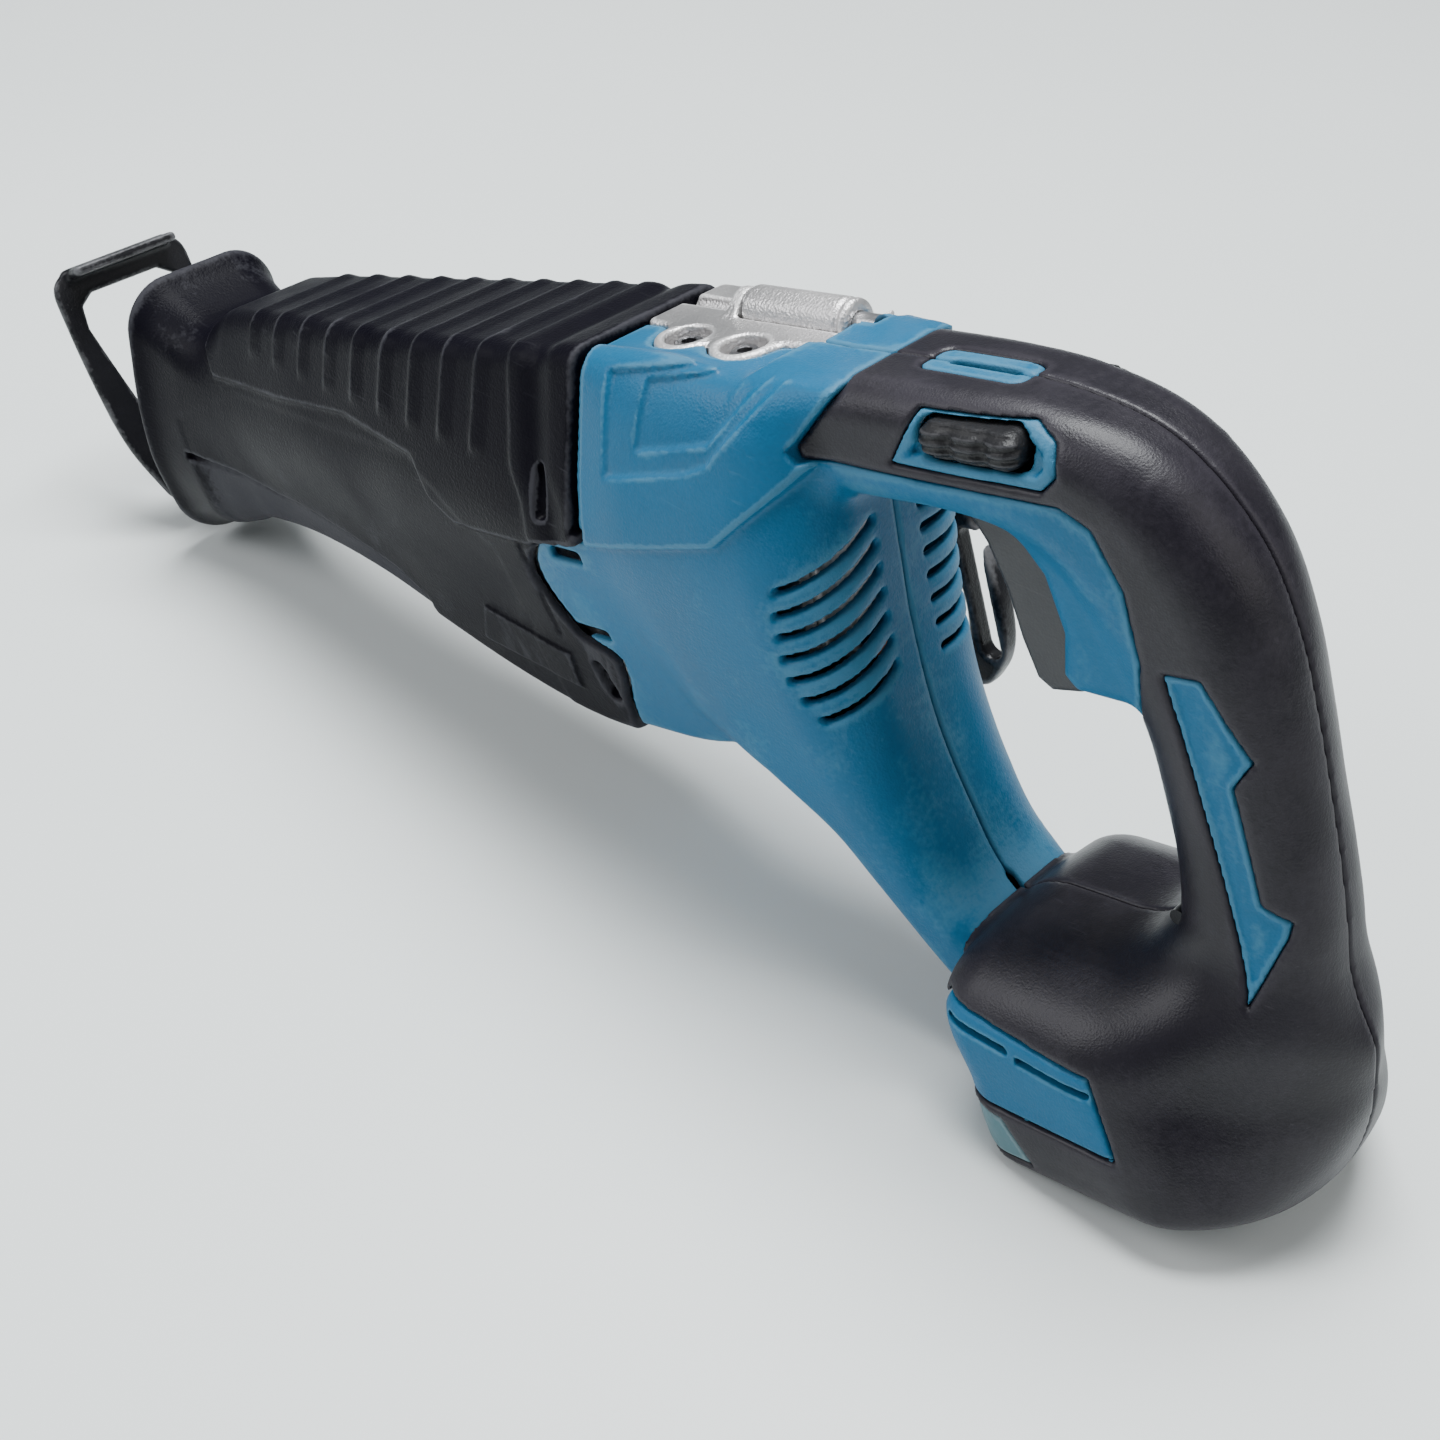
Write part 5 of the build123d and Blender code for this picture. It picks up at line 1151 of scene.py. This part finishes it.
@dataclass(frozen=True)
class Shoe:
    """The tilting shoe that rests against the work."""
    cell: float = 0.5
    pivot: tuple[float, float] = (464.0, 113.5)
    lean: float = 16.0
    half_width: float = 27.0
    low: float = -12.0
    high: float = 72.0
    plate: float = 9.0
    thickness: float = 3.2

    def build(self, bench: Bench) -> None:
        """Makes the shoe's plate, lip and ears as one pressing."""
        b = Block((448, -29, 94), (504, 29, 190), self.cell)
        turn = math.radians(self.lean)
        away_x, away_z = b.x - self.pivot[0], b.z - self.pivot[1]
        along = away_x * math.cos(turn) - away_z * math.sin(turn)
        up = away_x * math.sin(turn) + away_z * math.cos(turn)
        bow = 0.0018 * (up - 30) ** 2
        sheet = np.abs(along - self.plate + bow * 0.6) - self.thickness / 2
        middle = (self.low + self.high) / 2
        form = rounded(b.y, up - middle, self.half_width, (self.high - self.low) / 2, 9.0)
        taper = b.side - curve(up, (-12, 18), (8, 24), (40, 27), (72, 27))
        form = smooth_max(form, taper, 3.0)
        window = outline(b.side, up, ((-1, 15), (8, 16), (12.5, 22), (18.5, 52), (17.5, 59), (13, 62),
                                      (-1, 62)))
        form = smooth_max(form, -(window - 0.8), 1.5)
        body = smooth_max(sheet, form, 1.6)
        lip = smooth_max(rounded(along - 3.6, up - 70.6, 6.6, 1.6, 1.2), b.side - 20, 2.0)
        body = smooth_min(body, lip, 2.4)
        ear_plan = smooth_min(np.hypot(along, up) - 6.2, rounded(along - 5, up, 5.0, 6.2, 1.0), 1.0)
        ear = smooth_max(ear_plan, np.abs(b.side - 12.1) - 1.5, 0.8)
        body = smooth_min(body, ear, 1.6)
        body = smooth_max(body, -(np.hypot(along, up) - 2.6), 0.6)
        bench.mount(b.skin("shoe", body, bench.stance, 1.2), "black_steel", Body.SHOE, ["shoe"])


@dataclass(frozen=True)
class HangingHook:
    """The folding hook, its bright plate and the screws that hold it."""
    cell: float = 0.5
    hinge: tuple[float, float, float] = (182.0, -15.0, 188.5)
    barrel_radius: float = 6.2
    barrel_half: float = 17.0
    top: float = 188.6
    holes: tuple[tuple[float, float], ...] = ((185.0, 5.0), (204.0, 5.0))

    def barrel(self, bench: Bench) -> None:
        """Makes the bright barrel that the hook turns on."""
        b = Block((162, -24, 179), (202, -6, 198), 0.4)
        across = np.hypot(b.y - self.hinge[1], b.z - self.hinge[2])
        body = smooth_max(across - self.barrel_radius, np.abs(b.x - self.hinge[0]) - self.barrel_half, 1.6)
        groove = np.abs(b.x - self.hinge[0] + 14.2) - 0.5
        body = smooth_max(body, -np.maximum(groove, self.barrel_radius - 0.5 - across), 0.5)
        body = smooth_max(body, -(across - 3.05), 0.5)
        bench.mount(b.skin("hook_barrel", body, bench.stance, 1.0), "cast_aluminium", Body.HOOK, ["hook"])

    def arm(self, bench: Bench) -> None:
        """Makes the bent flat arm down the right side."""
        b = Block((146, -50, 70), (198, -12, 198), 0.55)
        body = hook_run(b, 0.0)
        window = np.maximum(rounded(b.x - 160.5 - 0.12 * (b.z - 112), b.z - 104, 3.2, 19.0, 3.0), b.y + 30)
        body = smooth_max(body, -window, 1.4)
        body = np.maximum(body, -(np.hypot(b.y - self.hinge[1], b.z - self.hinge[2]) - 6.4))
        bench.mount(b.skin("hook_arm", body, bench.stance, 1.2), "black_steel", Body.HOOK, ["hook"])

    def bracket(self, bench: Bench, housing: Housing) -> None:
        """Makes the bright plate with its counterbored holes and hinge ears."""
        b = Block((160, -31, 178), (227, 18, 199), 0.45)
        plan = housing.bracket_area(b)
        slab = smooth_max(plan, b.z - self.top + 0.012 * np.maximum(b.y - 6, 0) ** 2, 1.6)
        body = smooth_max(slab, 183.5 - b.z, 0.8)
        for x, y in self.holes:
            away = np.hypot(b.x - x, b.y - y)
            body = smooth_max(body, -smooth_max(away - 6.0, 184.6 - b.z, 0.8), 1.2)
            body = np.maximum(body, -(away - 2.3))
        centre = self.barrel_half + 2.6
        plate = np.abs(b.x - self.hinge[0] - centre) - 2.1
        eye = np.hypot(b.y - self.hinge[1], b.z - self.hinge[2]) - 5.4
        root = np.maximum(np.abs(b.y - self.hinge[1]) - 7.0, np.abs(b.z - 186) - 3)
        body = smooth_min(body, smooth_max(smooth_min(eye, root, 4.0), plate, 1.2), 2.0)
        cradle = np.maximum(np.abs(b.x - self.hinge[0]) - self.barrel_half - 0.4, 0)
        turning = np.hypot(b.y - self.hinge[1], b.z - self.hinge[2])
        body = smooth_max(body, -(turning - self.barrel_radius - 0.4 + 3 * cradle), 0.6)
        body = smooth_max(body, -np.maximum(b.y - self.hinge[1], 3 * cradle - 0.01), 0.6)
        body = np.maximum(body, 3.1 - turning)
        bench.mount(b.skin("hook_bracket", body, bench.stance, 1.2), "cast_aluminium", Body.HOUSING,
                    ["hook_bracket"])

    def build(self, bench: Bench, housing: Housing) -> None:
        """Makes the hook, its plate and its screws."""
        self.barrel(bench)
        self.arm(bench)
        self.bracket(bench, housing)
        screw = socket_screw("screw_pattern", 3.8, 2.2, 2.0, 18.0)
        (x0, y0), (x1, _) = self.holes
        screws = Repeats("screw_row").row("bracket_screws", screw, 2, (x0, y0, 184.7), (x1 - x0, 0, 0),
                                            bench.finishes["hardened_steel"])
        bpy.data.objects.remove(screw)
        place_mesh(screws, bench.stance)
        bench.mount(screws, "hardened_steel", Body.HOUSING, ["bracket_screws"])


# ---- controls --------------------------------------------------------------------------------
@dataclass(frozen=True)
class Controls:
    """The trigger and the lock-off button."""
    button_x: float = 106.0
    button_z: float = 181.0
    reach: float = 23.4

    def trigger(self, bench: Bench) -> None:
        """Makes the trigger with its hollowed finger face."""
        b = Block((82, -9, 110), (126, 9, 175), 0.42)
        side = outline(b.x, b.z, ((99, 171), (121, 171), (121.5, 158), (116, 150), (111.5, 139),
                                  (108.5, 127), (105, 117.5), (101, 115), (93, 116.5), (86, 119),
                                  (85, 157), (98, 160)))
        body = smooth_max(side, b.side - 6.9, 2.2)
        rib = np.abs(b.side - 4.2) - 0.35
        body = smooth_max(body, -np.maximum(rib, -(side + 0.6)), 0.5)
        body = np.maximum(body, -(np.hypot(b.x - 110, b.z - 169) - 2.1))
        bench.mount(b.skin("trigger", body, bench.stance, 1.0), "grey_plastic", Body.TRIGGER, ["trigger"])

    def button(self, bench: Bench) -> None:
        """Makes the three-lobed button that pokes out at both sides."""
        b = Block((90, -25, 174), (122, 25, 188), 0.42)
        bar = rounded(b.x - self.button_x, b.z - self.button_z, 13.4, 4.4, 4.2)
        body = smooth_max(bar, b.side - self.reach, 5.0)
        for shift in (-4.6, 4.6):
            cut = np.hypot(b.x - self.button_x - shift, (b.side - self.reach - 0.5) * 0.8) - 1.3
            body = smooth_max(body, -cut, 2.2)
        ridges = 0.22 * np.cos((b.z - self.button_z) * 2 * math.pi / 2.2) * ramp(20.5 - b.side, 2.0)
        bench.mount(b.skin("lock_off_button", body - ridges, bench.stance, 1.0), "black_plastic",
                    Body.LOCK_OFF, ["lock_off_button"])

    def build(self, bench: Bench) -> None:
        """Makes both."""
        self.trigger(bench)
        self.button(bench)


# ---- repeats by geometry nodes ---------------------------------------------------------------
class Repeats:
    """A geometry node tree that sets copies of a part in a row or a ring."""

    def __init__(self, name: str) -> None:
        """Builds the tree.

        Args:
            name: the tree's name.
        """
        self.tree = bpy.data.node_groups.new(name, "GeometryNodeTree")
        wiring = Wiring(self.tree)
        interface = self.tree.interface
        interface.new_socket("Geometry", in_out="INPUT", socket_type="NodeSocketGeometry")
        self.inputs = {}
        for label, kind in (("Part", "NodeSocketObject"), ("Count", "NodeSocketInt"),
                            ("Start", "NodeSocketVector"), ("Pitch", "NodeSocketVector"),
                            ("Turn", "NodeSocketFloat"), ("Finish", "NodeSocketMaterial")):
            self.inputs[label] = interface.new_socket(label, in_out="INPUT", socket_type=kind).identifier
        interface.new_socket("Geometry", in_out="OUTPUT", socket_type="NodeSocketGeometry")
        given = wiring.add("NodeGroupInput").outputs
        line = wiring.add("GeometryNodeMeshLine", {
            "Count": given["Count"], "Start Location": given["Start"], "Offset": given["Pitch"]})
        part = wiring.add("GeometryNodeObjectInfo", {"Object": given["Part"]})
        number = wiring.add("GeometryNodeInputIndex").outputs[0]
        turn = wiring.math("MULTIPLY", number, given["Turn"])
        facing = wiring.add("ShaderNodeCombineXYZ", {"Z": turn}).outputs[0]
        copies = wiring.add("GeometryNodeInstanceOnPoints", {
            "Points": line.outputs[0], "Instance": part.outputs["Geometry"], "Rotation": facing})
        whole = wiring.add("GeometryNodeRealizeInstances", {0: copies.outputs[0]})
        dressed = wiring.add("GeometryNodeSetMaterial", {"Geometry": whole.outputs[0],
                                                         "Material": given["Finish"]})
        wiring.add("NodeGroupOutput", {0: dressed.outputs[0]})

    def row(self, name: str, part: bpy.types.Object, count: int, start: Sequence[float],
            pitch: Sequence[float], finish: bpy.types.Material, turn: float = 0.0) -> bpy.types.Object:
        """Sets copies of a part out and makes them one plain mesh.

        Args:
            name: the new object's name.
            part: the part to repeat, at the origin.
            count: how many.
            start: place of the first.
            pitch: step from one to the next.
            finish: the material they get.
            turn: angle about Z from one to the next.

        Returns:
            The new object.
        """
        made = bpy.data.objects.new(name, bpy.data.meshes.new(name))
        bpy.context.scene.collection.objects.link(made)
        modifier = made.modifiers.new("repeat", "NODES")
        modifier.node_group = self.tree
        values = {"Part": part, "Count": count, "Start": tuple(start), "Pitch": tuple(pitch),
                  "Turn": turn, "Finish": finish}
        for label, value in values.items():
            modifier[self.inputs[label]] = value
        settle_modifiers(made)
        made.data.name = name
        return made


def lathe(name: str, profile: Sequence[tuple[float, float]], sides: int) -> bpy.types.Object:
    """Turns a profile round Z into a closed mesh.

    Args:
        name: the object's name.
        profile: pairs of radius and height, from the lowest up, ending on the axis.
        sides: how many faces go round.

    Returns:
        The object.
    """
    points, faces = [], []
    for radius, height in profile:
        for index in range(sides):
            angle = 2 * math.pi * index / sides
            points.append((radius * math.cos(angle), radius * math.sin(angle), height))
    for ring in range(len(profile) - 1):
        for index in range(sides):
            after = (index + 1) % sides
            faces.append((ring * sides + index, ring * sides + after,
                          (ring + 1) * sides + after, (ring + 1) * sides + index))
    faces.append(tuple(reversed(range(sides))))
    faces.append(tuple(range((len(profile) - 1) * sides, len(profile) * sides)))
    mesh = bpy.data.meshes.new(name)
    mesh.from_pydata(points, [], faces)
    made = bpy.data.objects.new(name, mesh)
    bpy.context.scene.collection.objects.link(made)
    return made


def socket_screw(name: str, head: float, height: float, shank: float, length: float) -> bpy.types.Object:
    """A cap screw with a six-sided socket, its head standing on Z = 0.

    Args:
        name: the object's name.
        head: radius of the head.
        height: height of the head.
        shank: radius of the shank.
        length: length of the shank.

    Returns:
        The object.
    """
    profile = ((shank - 0.4, -length), (shank, -length + 0.6), (shank, 0), (head - 0.3, 0),
               (head, 0.3), (head, height - 0.5), (head - 0.5, height), (head * 0.55, height),
               (head * 0.5, height - 0.2), (head * 0.5, height - 1.8))
    return lathe(name, profile, 24)


def place_mesh(made: bpy.types.Object, stance: Stance) -> None:
    """Moves a mesh made in the saw's own frame into the row frame."""
    made.data.transform(stance.matrix())
    made.data.update()


@dataclass(frozen=True)
class Inside:
    """The CAD pieces that keep their shape and only get their finishes."""

    def build(self, bench: Bench) -> None:
        """Gives every CAD node the finish that its record slot names."""
        for entry in frame["record"]["subparts"]:
            bench.dress(frame["nodes"][entry["node"]], entry["material_slot"])


# ---- stage -----------------------------------------------------------------------------------
@dataclass(frozen=True)
class Studio:
    """The floor, the lights and the camera."""
    stance: Stance
    place: tuple[float, float, float] = (-147.65, 326.35, 347.05)
    forward: tuple[float, float, float] = (0.6552, -0.5752, -0.4898)
    right: tuple[float, float, float] = (-0.7157, -0.6801, -0.1587)
    lens: float = 50.0
    floor_half: float = 40.0

    def floor(self) -> None:
        """Lays a wide pale floor."""
        mesh = bpy.data.meshes.new("floor")
        half = self.floor_half
        mesh.from_pydata([(-half, -half, 0), (half, -half, 0), (half, half, 0), (-half, half, 0)], [],
                         [(0, 1, 2, 3)])
        floor = bpy.data.objects.new("floor", mesh)
        bpy.context.scene.collection.objects.link(floor)
        made = bpy.data.materials.new("pale_floor")
        made.use_nodes = True
        wiring = Wiring(made.node_tree)
        shader = made.node_tree.nodes["Principled BSDF"]
        place = wiring.add("ShaderNodeTexCoord").outputs["Object"]
        cloud = wiring.span(wiring.noise(place, 3.0, 4.0), 0.3, 0.7)
        colour = wiring.mix(cloud, (0.795, 0.835, 0.825), (0.825, 0.860, 0.850))
        wiring.tree.links.new(colour, shader.inputs["Base Color"])
        shader.inputs["Roughness"].default_value = 0.42
        shader.inputs["Specular IOR Level"].default_value = 0.35
        mesh.materials.append(made)

    @staticmethod
    def lamp(name: str, place: Sequence[float], aim: Sequence[float], size: float, power: float,
             colour: Colour) -> None:
        """Hangs one soft square lamp.

        Args:
            name: its name.
            place: where it hangs, in metres.
            aim: the point it faces.
            size: its side in metres.
            power: in watts.
            colour: its colour.
        """
        data = bpy.data.lights.new(name, "AREA")
        data.size = size
        data.energy = power
        data.color = colour
        lamp = bpy.data.objects.new(name, data)
        lamp.location = place
        lamp.rotation_euler = (Vector(aim) - Vector(place)).to_track_quat("-Z", "Y").to_euler()
        bpy.context.scene.collection.objects.link(lamp)

    def lights(self) -> None:
        """Sets the lamps and the pale surroundings."""
        self.lamp("overhead", (0.15, -0.25, 1.6), (0, 0, 0), 0.9, 52.0, (0.96, 0.985, 1.0))
        self.lamp("window", (0.9, 1.1, 1.1), (0.05, 0, 0.1), 0.9, 15.0, (0.97, 0.98, 1.0))
        self.lamp("fill", (-1.2, -0.2, 1.0), (0, 0, 0.1), 1.2, 6.0, (1.0, 0.98, 0.95))
        world = bpy.data.worlds.new("studio")
        world.use_nodes = True
        shade = world.node_tree.nodes["Background"]
        shade.inputs["Color"].default_value = (0.86, 0.91, 0.95, 1.0)
        shade.inputs["Strength"].default_value = 0.27
        bpy.context.scene.world = world

    def camera(self) -> None:
        """Sets the camera."""
        data = bpy.data.cameras.new("camera")
        data.lens = self.lens
        data.clip_start = 0.01
        camera = bpy.data.objects.new("camera", data)
        turn = Matrix.Rotation(self.stance.tilt, 3, "Y")
        place = self.stance.matrix() @ Vector(self.place)
        forward = (turn @ Vector(self.forward)).normalized()
        right = turn @ Vector(self.right)
        right = (right - forward * right.dot(forward)).normalized()
        up = right.cross(forward)
        camera.matrix_world = Matrix((
            (right.x, up.x, -forward.x, place.x),
            (right.y, up.y, -forward.y, place.y),
            (right.z, up.z, -forward.z, place.z),
            (0, 0, 0, 1)))
        bpy.context.scene.collection.objects.link(camera)
        bpy.context.scene.camera = camera

    def build(self) -> None:
        """Makes floor, lights and camera."""
        self.floor()
        self.lights()
        self.camera()


def main() -> None:
    """Builds the saw's looks round its frame."""
    logging.basicConfig(level=logging.INFO, format="%(message)s")
    stance = Stance.from_joints(frame["joints"], (198.0, 0.0, 137.0))
    bench = Bench(stance)
    Studio(stance).build()
    Inside().build(bench)
    housing = Housing()
    housing.build(bench)
    boot = NoseBoot()
    boot.build(bench)
    GearCase().build(bench, housing, boot)
    Shoe().build(bench)
    HangingHook().build(bench, housing)
    Controls().build(bench)


if __name__ == "__main__":
    main()
